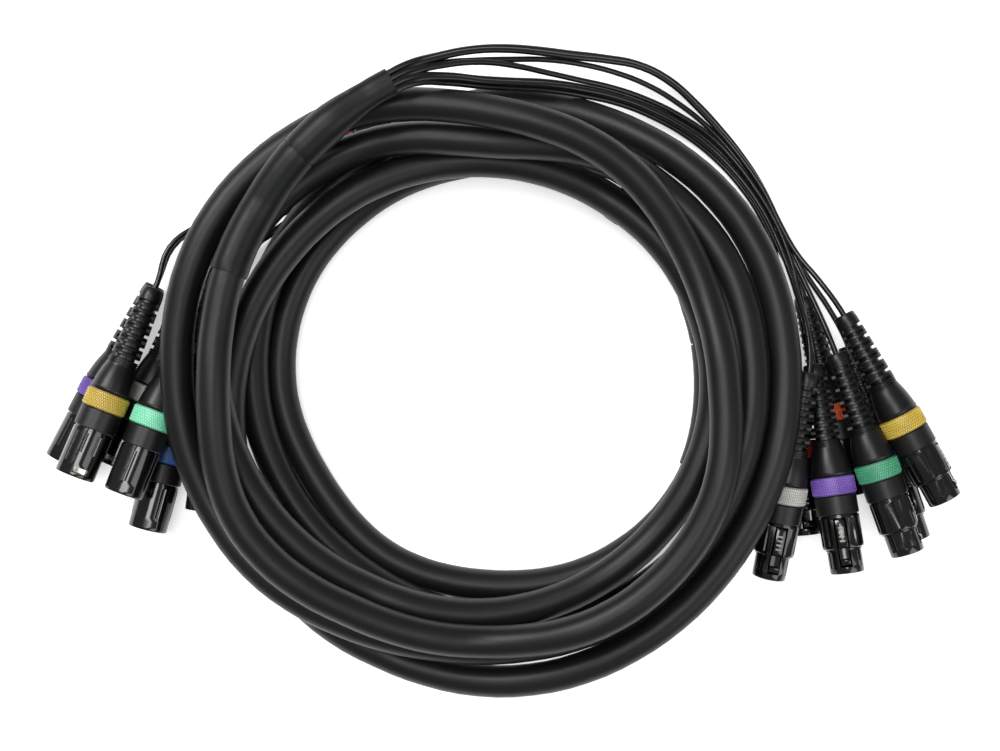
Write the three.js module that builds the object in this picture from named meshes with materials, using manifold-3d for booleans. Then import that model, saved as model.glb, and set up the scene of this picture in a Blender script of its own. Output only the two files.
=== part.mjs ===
// Audio snake: a seven-way loom of one thick multicore cable, coiled for storage, with a fan of
// thin tails at each end. One fan ends in male three-pin connectors, the other in female ones.
// Millimetres, +Z up, the surface it lies on at z = 0 and the middle of the coil over the origin.
import * as THREE from "three";
import { mergeVertices } from "three/addons/utils/BufferGeometryUtils.js";
import Module from "manifold-3d";

const wasm = await Module();
wasm.setup();

// Driving sizes
const fit = 0.3; // gap left between pieces that touch
const overrun = 1; // how far a cut runs past the face it cuts
const ways = 7; // channels, so tails and connectors at each end

const cableDiameter = 15.5;
const cableFlat = cableDiameter / 10; // cut off underneath, where the coil stands
const cableLay = cableDiameter + 1.3; // spacing of two strands that rest on each other
const besideLay = 12; // plan distance from which one may lie lower, beside the other
const cableSide = 6; // sides of the cable's section
const sleeveSides = 12;
const turnSteps = 36; // steps of the cable in one turn
const finePerStep = 3; // points in a step when the turns are laid

const tailDiameter = 2.8;
const tailSides = 6;
const tailStep = 18; // length of one straight step of a tail
const tailRootDepth = 10; // how far the tails reach into their sleeve

const jacketSleeveLength = 64; // tight sleeve over the cable's jacket
const fanSleeveLength = 52; // crimped sleeve over the place where the tails leave
const sleeveWall = 0.6;
const sleeveGap = 2;
const sleeveReachSpare = 10; // how far past its sleeves the cable keeps their wider spacing
const taperFlat = 10; // crimped sleeve that is as flat as its mouth
const taperEnd = 15; // and its round part at the other end
const mouthWidth = 13;
const mouthHeight = 9;
const cableInFan = 12; // how far the cable reaches into the crimped sleeve

// Sizes common to both kinds of connector
const shellDiameter = 19;
const collarDiameter = 20;
const ringDiameter = 21;
const neckDiameter = 15;
const neckBore = 10;
const cavityDepth = 4; // how far the hollow of the neck reaches into the collar
const rimBevel = 0.5;
const neckInBoot = 9;
const ringLength = 9.1;
const bootFrontDiameter = 19.6;
const bootFrontLength = 17.5; // smooth tapered part
const bootReliefLength = 33; // slotted strain relief
const bootEndLength = 4;
const bootReliefDiameter = 14.2;
const bootReliefEndDiameter = 11;
const bootEndDiameter = 10;
const bootWall = 2.4;
const bootChamber = 15; // depth of the wide bore behind the neck
const tailBore = 3.9;
const boreStep = 2; // run of the step between the two bores
const around = 12; // facets round a connector

// Male connector, measured from its mating rim
const maleBarrelLength = 24;
const maleSocketDepth = 16;
const maleSocketDiameter = 16.2;
const maleCollarEnd = 33.4;
const pinDiameter = 2.4;
const pinCircle = 3.6; // radius of the circle of contacts
const pinSetback = 1.5;
const keyWidth = 6.4; // window for the latch in the male barrel
const keyLength = 3;
const keySetback = 1.8;

// Female connector, measured from its nose
const femaleNoseLength = 12;
const femaleNoseDiameter = 16;
const femaleBarrelEnd = 28;
const femaleBarrelDiameter = 19.5;
const femaleCollarEnd = 37;
const socketDiameter = 2.8;
const socketDepth = 13;
const latchWidth = 4.4;
const latchStart = 4.2;
const latchEnd = 25.6;
const latchThickness = 1.6;
const latchTop = 9.3; // height of the latch's back over the connector's axis
const latchNoseTop = 7.7;
const latchHookTop = 8.7;
const latchHookLength = 2.2;
const latchBevel = 0.8;
const latchStep = 1; // run of the step from its front part up to its back
const latchPivotRadius = 1.1;
const latchSlotFloor = 4.6;
const latchFrontUnder = 6.1; // height of the underside of its front part
const latchPivot = [24.4, 6.9]; // how far back it turns, and how high

// Colours and finishes of the real pieces
const black = { jacket: 0x2c2a2b, sleeve: 0x343334, tail: 0x1c1b1c, shell: 0x121112, boot: 0x222122 };
const finish = {
  jacket: { color: black.jacket, roughness: 0.6, metalness: 0 },
  sleeve: { color: black.sleeve, roughness: 0.5, metalness: 0 },
  tail: { color: black.tail, roughness: 0.35, metalness: 0 },
  shell: { color: black.shell, roughness: 0.2, metalness: 0.6 },
  latch: { color: black.shell, roughness: 0.3, metalness: 0.8 },
  boot: { color: black.boot, roughness: 0.55, metalness: 0 },
};
const ringColours = {
  brown: 0x6b4530,
  red: 0xb5302c,
  orange: 0xc4501f,
  yellow: 0xd2b64c,
  green: 0x4fa57f,
  mint: 0x88e5bd,
  blue: 0x44639a,
  violet: 0x7a5bb0,
  grey: 0xabaca7,
};

// Where the connectors lie: the middle of the rim or nose, the heading of the tail end in
// degrees from +X, the height of the tail end, and the roll of the key or latch off the top.
const maleConnectors = [
  { name: "yellow", nose: [-197.9, -45, 35.8], heading: 68.4, end: 25, roll: 24 },
  { name: "green", nose: [-174.7, -53.6, 35.6], heading: 69.5, end: 25, roll: 150 },
  { name: "grey", nose: [-184.7, -41.7, 13.3], heading: 67.6, end: 7, roll: -20 },
  { name: "violet", nose: [-210, -39.4, 13.3], heading: 63.4, end: 7, roll: 120 },
  { name: "blue", nose: [-168.9, -72.8, 13.3], heading: 75.3, end: 7, roll: -120 },
  { name: "orange", nose: [-140.8, -64, 13.3], heading: 83, end: 7, roll: 5 },
  { name: "red", nose: [-107, 106.3, 13.3], heading: 20, end: 7, roll: 0 },
];
const femaleConnectors = [
  { name: "grey", nose: [134.7, -94.6, 26.9], heading: 80.1, end: 36.2, roll: 0 },
  { name: "violet", nose: [171.2, -91.4, 33.8], heading: 98.2, end: 25, roll: -12 },
  { name: "green", nose: [199.5, -81.8, 35.7], heading: 109, end: 29, roll: 70 },
  { name: "yellow", nose: [218.1, -56.7, 33.5], heading: 118, end: 27, roll: 62 },
  { name: "blue", nose: [209.2, -78.2, 13.6], heading: 108, end: 7, roll: -50 },
  { name: "orange", nose: [178.7, -56.2, 13.6], heading: 102.9, end: 7, roll: 30 },
  { name: "red", nose: [155.9, -75.6, 13.6], heading: 96.1, end: 7, roll: 0 },
];

// The coil's turns from the female end, on top, to the male end, underneath. Each row is one
// turn anticlockwise and gives the cable's distance from the middle every 30 degrees from 90.
const turnRadii = [
  [151, 138.5, 130.5, 125.5, 131.5, 124.5, 122.5, 122, 117, 108, 110, 118],
  [125, 142, 149, 147, 143, 134, 129, 126.2, 123.2, 123.2, 124.8, 121],
  [113, 127, 133, 131, 126, 117, 112, 110, 109, 109, 107, 105.5],
  [106, 110, 116, 124, 133, 143, 146, 142.5, 139.5, 139.5, 141.5, 138.5],
  [136, 123, 120, 115, 111.3, 112, 118, 127, 130.5, 132, 131, 123.5],
  [110, 107.5, 107, 104, 99, 101, 101.5, 107, 111, 110, 110, 107],
];
const firstAngle = 90;
const mouthAngleTop = 108; // where the upper crimped sleeve ends
const mouthAngleUnder = 5 * 360 + 90 + 308; // where the lower one ends

const scene = new THREE.Group();
const turn = Math.PI / 180;

function addPiece(name, geometry, look, parent = scene) {
  const mesh = new THREE.Mesh(geometry, new THREE.MeshStandardMaterial(look));
  mesh.name = name;
  parent.add(mesh);
  return mesh;
}

// Solids for cutting and joining
function solidOf(geometry) {
  const bare = geometry.clone();
  for (const extra of ["normal", "uv"]) bare.deleteAttribute(extra);
  const merged = mergeVertices(bare, 1e-4);
  const vertProperties = new Float32Array(merged.attributes.position.array);
  const triVerts = new Uint32Array(merged.index.array);
  return new wasm.Manifold(new wasm.Mesh({ numProp: 3, vertProperties, triVerts }));
}

function geometryOf(solid) {
  const mesh = solid.getMesh();
  const geometry = new THREE.BufferGeometry();
  geometry.setAttribute("position", new THREE.BufferAttribute(new Float32Array(mesh.vertProperties), 3));
  geometry.setIndex(new THREE.BufferAttribute(new Uint32Array(mesh.triVerts), 1));
  geometry.computeVertexNormals();
  return geometry;
}

// A turned piece: [distance along the axis, radius] pairs round a closed outline, axis along Z
function turned(outline, sides = around) {
  const points = outline.map(([along, radius]) => new THREE.Vector2(radius, along));
  points.push(points[0].clone());
  const lathe = new THREE.LatheGeometry(points, sides);
  lathe.rotateX(Math.PI / 2);
  return solidOf(lathe);
}

// A turned piece whose outline starts and ends on its axis
function turnedSolid(outline, sides = around) {
  const points = outline.map(([along, radius]) => new THREE.Vector2(radius, along));
  const lathe = new THREE.LatheGeometry(points, sides);
  lathe.rotateX(Math.PI / 2);
  return solidOf(lathe);
}

function block(width, height, length, x, y, z) {
  const box = new THREE.BoxGeometry(width, height, length);
  box.translate(x, y, z);
  return solidOf(box);
}

// A tube or bar swept along points, with a ring of section points at each
function swept(points, sections) {
  const positions = [];
  const index = [];
  const sides = sections[0].length;
  points.forEach((point, i) => {
    const ahead = points[Math.min(i + 1, points.length - 1)];
    const behind = points[Math.max(i - 1, 0)];
    const along = ahead.clone().sub(behind).normalize();
    const across = new THREE.Vector3(-along.y, along.x, 0).normalize();
    const up = new THREE.Vector3().crossVectors(along, across);
    for (const [a, b] of sections[i]) {
      positions.push(...point.clone().addScaledVector(across, a).addScaledVector(up, b).toArray());
    }
  });
  for (let i = 0; i < points.length - 1; i++) {
    for (let k = 0; k < sides; k++) {
      const a = i * sides + k;
      const b = i * sides + ((k + 1) % sides);
      index.push(a, b, b + sides, a, b + sides, a + sides);
    }
  }
  const last = (points.length - 1) * sides;
  for (let k = 1; k < sides - 1; k++) {
    index.push(0, k + 1, k, last, last + k, last + k + 1);
  }
  const geometry = new THREE.BufferGeometry();
  geometry.setAttribute("position", new THREE.Float32BufferAttribute(positions, 3));
  geometry.setIndex(index);
  return geometry;
}

function roundSection(radius, sides) {
  return Array.from({ length: sides }, (_, k) => {
    const angle = ((k + 0.5) / sides) * 2 * Math.PI - Math.PI / 2;
    return [radius * Math.cos(angle), radius * Math.sin(angle)];
  });
}

function ovalSection(width, height, sides) {
  return roundSection(0.5, sides).map(([a, b]) => [a * width, b * height]);
}

function sweptRound(points, radius, sides) {
  return swept(points, points.map(() => roundSection(radius, sides)));
}

// Frames of the connectors: local Z runs from the mating end to the tail, local Y to the key
function placed({ nose, heading, end, roll }, length) {
  const rise = Math.asin((end - nose[2]) / length);
  const axis = new THREE.Vector3(
    Math.cos(heading * turn) * Math.cos(rise),
    Math.sin(heading * turn) * Math.cos(rise),
    Math.sin(rise),
  );
  const side = new THREE.Vector3().crossVectors(new THREE.Vector3(0, 0, 1), axis).normalize();
  const top = new THREE.Vector3().crossVectors(axis, side);
  const group = new THREE.Group();
  const basis = new THREE.Matrix4().makeBasis(side, top, axis);
  group.quaternion.setFromRotationMatrix(basis);
  group.rotateZ(roll * turn);
  group.position.set(...nose);
  return { group, axis, nose: new THREE.Vector3(...nose) };
}

const bootLength = bootFrontLength + bootReliefLength + bootEndLength + 2 * fit;
const maleLength = maleCollarEnd + ringLength + bootLength;
const femaleLength = femaleCollarEnd + ringLength + bootLength;

// Radius of a connector along its axis, for what rests on it
function outerRadius(along, collarEnd) {
  const ringEnd = collarEnd + ringLength;
  if (along < ringEnd) return ringDiameter / 2;
  const share = (along - ringEnd) / bootLength;
  return THREE.MathUtils.lerp(bootFrontDiameter, bootEndDiameter, Math.min(1, share * 1.25)) / 2;
}

function layOut(connectors, size, collarEnd) {
  return connectors.map((c) => ({ ...c, ...placed(c, size), size, collarEnd }));
}
const placedMales = layOut(maleConnectors, maleLength, maleCollarEnd);
const placedFemales = layOut(femaleConnectors, femaleLength, femaleCollarEnd);

// Height at which something round rests on the balls under it
function restingHeight(x, y, radius, balls, gap) {
  let height = radius;
  for (const [bx, by, bz, ballRadius] of balls) {
    const reach = radius + ballRadius + gap;
    const apart = (x - bx) ** 2 + (y - by) ** 2;
    if (apart < reach * reach) height = Math.max(height, bz + Math.sqrt(reach * reach - apart));
  }
  return height;
}

// The route of the cable from its upper mouth to its lower one, laid from underneath
const route = [];
{
  const table = turnRadii.flat();
  const knots = table.map((radius, i) => new THREE.Vector3(i, radius, 0));
  const smooth = new THREE.CatmullRomCurve3(knots, false, "catmullrom", 0.5);
  const perKnot = 360 / turnRadii[0].length;
  const stepAngle = 360 / (turnSteps * finePerStep);
  const count = Math.round((mouthAngleUnder - mouthAngleTop) / stepAngle);
  for (let i = 0; i <= count; i++) {
    const angle = mouthAngleTop + i * stepAngle;
    const radius = smooth.getPoint((angle - firstAngle) / perKnot / (table.length - 1)).y;
    route.push([radius * Math.cos(angle * turn), radius * Math.sin(angle * turn), 0]);
  }
}

const floorHeight = cableDiameter / 2 - cableFlat;
const sleeveFloor = 8.9; // height of the cable's middle in a sleeve that lies on the floor
const sleeveReach = jacketSleeveLength + fanSleeveLength + sleeveReachSpare;
const sleeveExtra = 1.3; // wider spacing of the strands beside a sleeve
const ownReach = Math.round((2 * cableDiameter) / ((2 * Math.PI * 125) / (turnSteps * finePerStep)));
const restGap = 0.8; // between the cable and what it rests on
const bendOfRise = 50; // how tightly the cable dips beside what it climbs over
const riseReach = 20; // points over which it does

// Middle line of the tails: [distance from the middle of the coil, angle, height]
const tailsOverTop = [[149, 99, 57], [152, 90, 46], [156, 76, 26], [160, 62, 13], [161.5, 48, 6], [160, 35, 5]];
const tailsUnder = [[110, 48, 4], [111, 62, 1.8], [113, 84, 1.8], [117, 106, 1.8], [122, 122, 1.8], [131, 137, 3.2]];
const tailToHidden = [[112, 48, 4], [122, 58, 1.8], [133, 70, 1.8], [140, 82, 2.4]];
// Order of the tails across their strip, from the outside of the coil inward
const orderOverTop = ["blue", "yellow", "green", "violet", "orange", "grey", "red"];
const orderUnder = ["violet", "yellow", "grey", "green", "blue", "orange"];
const tailGap = 0.3; // between neighbours of a strip of tails
const stripSpacing = tailDiameter + tailGap;
const rootOut = 8; // how far the tails run straight on from their mouth
const leadOut = 26; // how far a tail runs straight on from its boot
const bootStraight = 3;
const tailDepth = 38; // how far a tail reaches into its boot

function polar([radius, angle, height]) {
  return new THREE.Vector3(radius * Math.cos(angle * turn), radius * Math.sin(angle * turn), height);
}

// Points of one tail from its sleeve's mouth to the inside of its boot
function tailPoints(mouth, middle, shift, connector, rootShift) {
  const tip = connector.nose.clone().addScaledVector(connector.axis, connector.size);
  const points = [];
  const outward = mouth.side;
  for (const back of [tailRootDepth - sleeveGap, 0, -rootOut]) {
    const point = mouth.point.clone().addScaledVector(mouth.along, -back);
    points.push(point.addScaledVector(outward, rootShift[0]).add(new THREE.Vector3(0, 0, rootShift[1])));
  }
  for (const [radius, angle, height] of middle) points.push(polar([radius + shift, angle, height]));
  points.push(tip.clone().addScaledVector(connector.axis, leadOut));
  points.push(tip.clone().addScaledVector(connector.axis, bootStraight));
  const curve = new THREE.CatmullRomCurve3(points, false, "centripetal");
  const steps = Math.round(curve.getLength() / tailStep);
  const path = curve.getSpacedPoints(steps);
  path.push(tip.clone().addScaledVector(connector.axis, -tailDepth));
  return path;
}

// The mouths are known before the heights: the lower one lies on the floor
function mouthAt(index, next, height) {
  const [x, y] = route[index];
  const [nx, ny] = route[next];
  const along = new THREE.Vector3(x - nx, y - ny, 0).normalize();
  const point = new THREE.Vector3(x, y, height);
  const side = new THREE.Vector3(x, y, 0).normalize();
  return { point, along, side };
}

function rootShifts(count) {
  const upper = Math.ceil(count / 2);
  const height = tailDiameter / 2 - tailGap;
  return Array.from({ length: count }, (_, i) => {
    const high = i % 2 === 0;
    const place = Math.floor(i / 2) - ((high ? upper : count - upper) - 1) / 2;
    return [-place * tailDiameter * 0.8, high ? height : -height];
  });
}

function strip(mouth, middle, order, connectors) {
  const shifts = rootShifts(ways);
  return order.map((name, i) => {
    const shift = ((order.length - 1) / 2 - i) * stripSpacing;
    const spare = ways - order.length;
    return tailPoints(mouth, middle, shift, connectors.find((c) => c.name === name), shifts[i + spare]);
  });
}

const lastPoint = route.length - 1;
const lowerMouth = mouthAt(lastPoint, lastPoint - 2, sleeveFloor);
const hiddenMale = placedMales.find((c) => c.name === "red");
const lowerTails = [
  tailPoints(lowerMouth, tailToHidden, 0, hiddenMale, rootShifts(ways)[0]),
  ...strip(lowerMouth, tailsUnder, orderUnder, placedMales),
];

// What lies under the coil: balls of [x, y, z, radius]
const under = [];
for (const connector of [...placedMales, ...placedFemales]) {
  for (let along = 0; along <= connector.size; along += tailDiameter) {
    const spot = connector.nose.clone().addScaledVector(connector.axis, along);
    under.push([spot.x, spot.y, spot.z, outerRadius(along, connector.collarEnd)]);
  }
}
for (const path of lowerTails) {
  for (let i = 2; i < path.length - 2; i++) {
    for (let share = 0; share < 1; share += 0.2) {
      const spot = path[i].clone().lerp(path[i + 1], share);
      under.push([spot.x, spot.y, spot.z, tailDiameter / 2 + tailGap]);
    }
  }
}

// Distance along the route from each of its points to the nearer end
const spacing = route.map((point, i) => {
  const [x, y] = route[Math.min(i + 1, lastPoint)];
  return Math.hypot(x - point[0], y - point[1]);
});
const runTo = [0];
for (let i = 0; i < lastPoint; i++) runTo.push(runTo[i] + spacing[i]);
const toEnd = runTo.map((run) => Math.min(run, runTo[lastPoint] - run));

function layRoute() {
  const inSleeve = toEnd.map((run) => run < sleeveReach);
  for (let i = 0; i <= lastPoint; i++) {
    const [x, y] = route[i];
    const extra = inSleeve[i] ? sleeveExtra : 0;
    const rest = restingHeight(x, y, cableDiameter / 2, under, restGap + extra);
    route[i][2] = Math.max(inSleeve[i] ? sleeveFloor : floorHeight, rest > cableDiameter / 2 ? rest : 0);
  }
  for (let pass = 0; pass < 14; pass++) {
    const raised = route.map((point) => point[2]);
    for (let i = 0; i <= lastPoint; i++) {
      for (let step = -riseReach; step <= riseReach; step++) {
        const j = Math.min(lastPoint, Math.max(0, i + step));
        const fall = (step * spacing[1]) ** 2 / (2 * bendOfRise);
        raised[i] = Math.max(raised[i], route[j][2] - fall);
      }
    }
    for (let i = 0; i <= lastPoint; i++) route[i][2] = raised[i];
    for (let i = lastPoint; i >= 0; i--) {
      for (let j = i + ownReach; j <= lastPoint; j++) {
        const lay = cableLay + (inSleeve[i] || inSleeve[j] ? sleeveExtra : 0);
        const apart = (route[i][0] - route[j][0]) ** 2 + (route[i][1] - route[j][1]) ** 2;
        if (apart >= lay * lay) continue;
        const rise = Math.sqrt(lay * lay - apart);
        if (apart > besideLay * besideLay && route[j][2] - route[i][2] >= rise) continue;
        const needed = route[j][2] + rise;
        if (needed > route[i][2]) route[i][2] = needed;
      }
    }
  }
}
layRoute();

// The cable's middle line in straight steps, and stretches of it
const line = [];
for (let i = 0; i <= lastPoint; i += finePerStep) line.push(new THREE.Vector3(...route[i]));
line.push(new THREE.Vector3(...route[lastPoint]));
const lineRun = [0];
for (let i = 1; i < line.length; i++) lineRun.push(lineRun[i - 1] + line[i].distanceTo(line[i - 1]));
const lineLength = lineRun[line.length - 1];

function lineAt(run) {
  let i = 1;
  while (i < line.length - 1 && lineRun[i] < run) i++;
  const share = (run - lineRun[i - 1]) / (lineRun[i] - lineRun[i - 1]);
  return line[i - 1].clone().lerp(line[i], share);
}

function stretch(from, to, extra = []) {
  const runs = [from, to, ...extra, ...lineRun.filter((run) => run > from + 1 && run < to - 1)];
  const sorted = runs.sort((a, b) => a - b).filter((run, i, all) => i === 0 || run - all[i - 1] > 0.5);
  return { points: sorted.map(lineAt), runs: sorted };
}

// Least gap of the cable to itself, on points along its middle line
{
  const step = cableDiameter / 4;
  const spots = [];
  for (let run = 0; run < lineLength; run += step) spots.push(lineAt(run));
  let least = Infinity;
  for (let i = 0; i < spots.length; i++) {
    for (let j = i + 12; j < spots.length; j++) least = Math.min(least, spots[i].distanceTo(spots[j]));
  }
  console.log(`least gap of the cable to itself: ${(least - cableDiameter).toFixed(2)} mm`);
}

// Cable and sleeves
const cableRadius = cableDiameter / 2;
{
  const ends = fanSleeveLength - cableInFan;
  const { points } = stretch(ends, lineLength - ends);
  const round = solidOf(sweptRound(points, cableRadius, cableSide));
  addPiece("main_cable", geometryOf(round.trimByPlane([0, 0, 1], 0)), finish.jacket);
}

const sleeveBore = cableRadius + 2 * fit;
function sleeveSection(radius, share, wall) {
  const wide = THREE.MathUtils.lerp(radius, mouthWidth / 2 - wall, share);
  const high = THREE.MathUtils.lerp(radius, mouthHeight / 2 - wall, share);
  return roundSection(1, sleeveSides).map(([a, b]) => [a * wide, b * high]);
}

function sleeve(name, from, to, shareAt) {
  const { points, runs } = stretch(from, to, [from + taperEnd, to - taperEnd]);
  const outer = points.map((_, i) => sleeveSection(sleeveBore + sleeveWall, shareAt(runs[i]), 0));
  const inner = points.map((_, i) => sleeveSection(sleeveBore, shareAt(runs[i]), sleeveWall));
  const long = points.map((point) => point.clone());
  long[0].addScaledVector(points[1].clone().sub(points[0]).normalize(), -overrun);
  const end = points.length - 1;
  long[end].addScaledVector(points[end - 1].clone().sub(points[end]).normalize(), -overrun);
  const solid = solidOf(swept(points, outer)).subtract(solidOf(swept(long, inner)));
  addPiece(name, geometryOf(solid), finish.sleeve);
}

const clampShare = (share) => Math.min(1, Math.max(0, share));
const taperLength = fanSleeveLength - taperEnd - taperFlat;
const taper = (fromMouth) => clampShare((fanSleeveLength - taperEnd - fromMouth) / taperLength);
const jacketFrom = fanSleeveLength + sleeveGap;
sleeve("fan_sleeve_a", 0, fanSleeveLength, taper);
sleeve("cable_sleeve_a", jacketFrom, jacketFrom + jacketSleeveLength, () => 0);
sleeve("fan_sleeve_b", lineLength - fanSleeveLength, lineLength, (run) => taper(lineLength - run));
sleeve("cable_sleeve_b", lineLength - jacketFrom - jacketSleeveLength, lineLength - jacketFrom, () => 0);

// Tails, each fan joined at its root in the sleeve's mouth
const upperMouth = {
  point: line[0].clone(),
  along: line[0].clone().sub(line[1]).normalize(),
  side: new THREE.Vector3(line[0].x, line[0].y, 0).normalize(),
};
lowerMouth.point.z = line[line.length - 1].z;
const upperTails = strip(upperMouth, tailsOverTop, orderOverTop, placedFemales);

function fan(name, tails, from, to) {
  const { points } = stretch(from, to);
  const slack = 2 * (sleeveWall + 2 * fit);
  const section = ovalSection(mouthWidth - slack, mouthHeight - slack, sleeveSides);
  const root = solidOf(swept(points, points.map(() => section)));
  const tubes = tails.map((points) => solidOf(sweptRound(points, tailDiameter / 2, tailSides)));
  // Where tails cross they can enclose a little space; only the outside is kept
  const shells = wasm.Manifold.union([root, ...tubes]).decompose();
  shells.sort((a, b) => b.volume() - a.volume());
  if (shells.length > 1 && shells[1].volume() > 0) throw new Error(`${name}: a tail is loose`);
  return addPiece(name, geometryOf(shells[0]), finish.tail);
}
fan("tails_a", upperTails, fit, tailRootDepth);
fan("tails_b", lowerTails, lineLength - tailRootDepth, lineLength - fit);

// Connectors
const neckRadius = neckDiameter / 2;
function contacts(diameter, from, to) {
  return [-60, 60, 180].map((angle) => {
    const pin = new THREE.CylinderGeometry(diameter / 2, diameter / 2, to - from, 8);
    pin.rotateX(Math.PI / 2);
    pin.translate(pinCircle * Math.sin(angle * turn), pinCircle * Math.cos(angle * turn), (from + to) / 2);
    return solidOf(pin);
  });
}

function backOf(collarEnd) {
  const neckEnd = collarEnd + ringLength + neckInBoot;
  return [
    [collarEnd, collarDiameter / 2], [collarEnd, neckRadius], [neckEnd, neckRadius],
    [neckEnd, neckBore / 2], [collarEnd - cavityDepth, neckBore / 2], [collarEnd - cavityDepth, 0],
  ];
}

function maleShell() {
  const radius = shellDiameter / 2;
  const bore = maleSocketDiameter / 2;
  const body = turnedSolid([
    [maleSocketDepth, 0], [maleSocketDepth, bore], [0, bore], [0, radius - rimBevel], [rimBevel, radius],
    [maleBarrelLength, radius], [maleBarrelLength, collarDiameter / 2], ...backOf(maleCollarEnd),
  ]);
  const window = block(keyWidth, radius, keyLength, 0, bore + radius / 2 - overrun, keySetback + keyLength / 2);
  const pins = contacts(pinDiameter, pinSetback, maleSocketDepth + overrun);
  return wasm.Manifold.union([body.subtract(window), ...pins]);
}

function femaleShell() {
  const nose = femaleNoseDiameter / 2;
  const barrel = femaleBarrelDiameter / 2;
  const body = turnedSolid([
    [0, 0], [0, nose - rimBevel], [rimBevel, nose], [femaleNoseLength, nose], [femaleNoseLength, barrel],
    [femaleBarrelEnd, barrel], [femaleBarrelEnd, collarDiameter / 2], ...backOf(femaleCollarEnd),
  ]);
  const slotLength = latchEnd - latchStart + 2 * fit;
  const slot = block(
    latchWidth + 2 * fit, barrel, slotLength,
    0, latchSlotFloor + barrel / 2, (latchStart + latchEnd) / 2,
  );
  return wasm.Manifold.difference([body, slot, ...contacts(socketDiameter, -overrun, socketDepth)]);
}

// The latch turns about its own origin, which is its pivot
function latchLever() {
  const under = latchTop - latchThickness;
  const [pivotBack, pivotHeight] = latchPivot;
  const pivotHalf = latchPivotRadius / 2;
  const outline = [
    [latchStart, latchFrontUnder], [latchStart, latchHookTop - latchBevel],
    [latchStart + latchBevel, latchHookTop], [latchStart + latchHookLength, latchHookTop],
    [latchStart + latchHookLength + latchBevel, latchNoseTop], [femaleNoseLength, latchNoseTop],
    [femaleNoseLength + latchStep, latchTop], [latchEnd, latchTop],
    [latchEnd, pivotHeight], [pivotBack + pivotHalf, pivotHeight - latchPivotRadius],
    [pivotBack - pivotHalf, pivotHeight - latchPivotRadius], [pivotBack - latchPivotRadius, under],
    [femaleNoseLength + 2 * latchStep, under], [femaleNoseLength + latchStep, latchFrontUnder],
  ];
  const shape = new THREE.Shape(outline.map(([back, height]) => new THREE.Vector2(back - pivotBack, height - pivotHeight)));
  const bar = new THREE.ExtrudeGeometry(shape, { depth: latchWidth, bevelEnabled: false });
  bar.translate(0, 0, -latchWidth / 2);
  bar.rotateY(-Math.PI / 2);
  return solidOf(bar);
}

function ring(collarEnd) {
  const bore = neckRadius + fit;
  const outer = ringDiameter / 2;
  const from = collarEnd + fit;
  const to = collarEnd + ringLength;
  return turned([[from, bore], [from, outer], [to, outer], [to, bore]]);
}

function boot(collarEnd) {
  const start = collarEnd + ringLength + fit;
  const neck = neckRadius + fit;
  const points = [
    [0, neck], [0, bootFrontDiameter / 2 - rimBevel], [2 * rimBevel, bootFrontDiameter / 2],
    [bootFrontLength, bootReliefDiameter / 2], [bootFrontLength + bootReliefLength, bootReliefEndDiameter / 2],
    [bootFrontLength + bootReliefLength, bootEndDiameter / 2],
    [bootFrontLength + bootReliefLength + bootEndLength, bootEndDiameter / 2],
    [bootFrontLength + bootReliefLength + bootEndLength, tailBore / 2],
    [bootChamber + boreStep, tailBore / 2], [bootChamber, neckBore / 2],
    [neckInBoot + fit, neckBore / 2], [neckInBoot + fit, neck],
  ];
  return turned(points.map(([along, radius]) => [start + along, radius]));
}

const shared = {
  maleShell: geometryOf(maleShell()),
  femaleShell: geometryOf(femaleShell()),
  maleRing: geometryOf(ring(maleCollarEnd)),
  femaleRing: geometryOf(ring(femaleCollarEnd)),
  maleBoot: geometryOf(boot(maleCollarEnd)),
  femaleBoot: geometryOf(boot(femaleCollarEnd)),
  latch: geometryOf(latchLever()),
};

function ringFinish(name, kind) {
  const key = name === "green" && kind === "male" ? "mint" : name;
  return { color: ringColours[key], roughness: 0.5, metalness: 0 };
}

for (const kind of ["male", "female"]) {
  for (const connector of kind === "male" ? placedMales : placedFemales) {
    const group = connector.group;
    scene.add(group);
    addPiece(`${kind}_shell_${connector.name}`, shared[`${kind}Shell`], finish.shell, group);
    addPiece(`${kind}_ring_${connector.name}`, shared[`${kind}Ring`], ringFinish(connector.name, kind), group);
    addPiece(`${kind}_boot_${connector.name}`, shared[`${kind}Boot`], finish.boot, group);
    if (kind === "male") continue;
    const latch = addPiece(`latch_${connector.name}`, shared.latch, finish.latch, group);
    latch.position.set(0, latchPivot[1], latchPivot[0]);
  }
}

// The middle of the whole thing goes over the origin
scene.updateMatrixWorld(true);
const whole = new THREE.Box3().setFromObject(scene, true);
const middle = whole.getCenter(new THREE.Vector3());
scene.position.set(-middle.x, -middle.y, -whole.min.z);
scene.updateMatrixWorld(true);

export default scene;
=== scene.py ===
"""Coiled audio snake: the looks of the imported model, laid out as a Blender add-on.

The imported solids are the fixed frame. Every piece here stands for one of them, in the same place
and at the same size, with the detail and the finish of the real one. Lengths are millimetres until
a piece is written, and metres after that.
"""

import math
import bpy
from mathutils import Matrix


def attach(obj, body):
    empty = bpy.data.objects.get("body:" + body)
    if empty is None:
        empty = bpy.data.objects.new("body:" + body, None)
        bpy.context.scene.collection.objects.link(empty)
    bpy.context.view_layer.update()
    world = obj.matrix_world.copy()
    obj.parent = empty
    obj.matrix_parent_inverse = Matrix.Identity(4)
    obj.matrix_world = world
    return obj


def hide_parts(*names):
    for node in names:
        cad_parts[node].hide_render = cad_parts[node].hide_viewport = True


bl_info = {
    "name": "Coiled audio snake",
    "version": (1, 0, 0),
    "blender": (4, 5, 0),
    "location": "3D View > Sidebar > Snake",
    "description": "Dresses the packed audio snake with its cables, sleeves and connectors",
    "category": "Object",
}

import bmesh
import bpy
import numpy as np
from mathutils import Matrix, Vector

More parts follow.
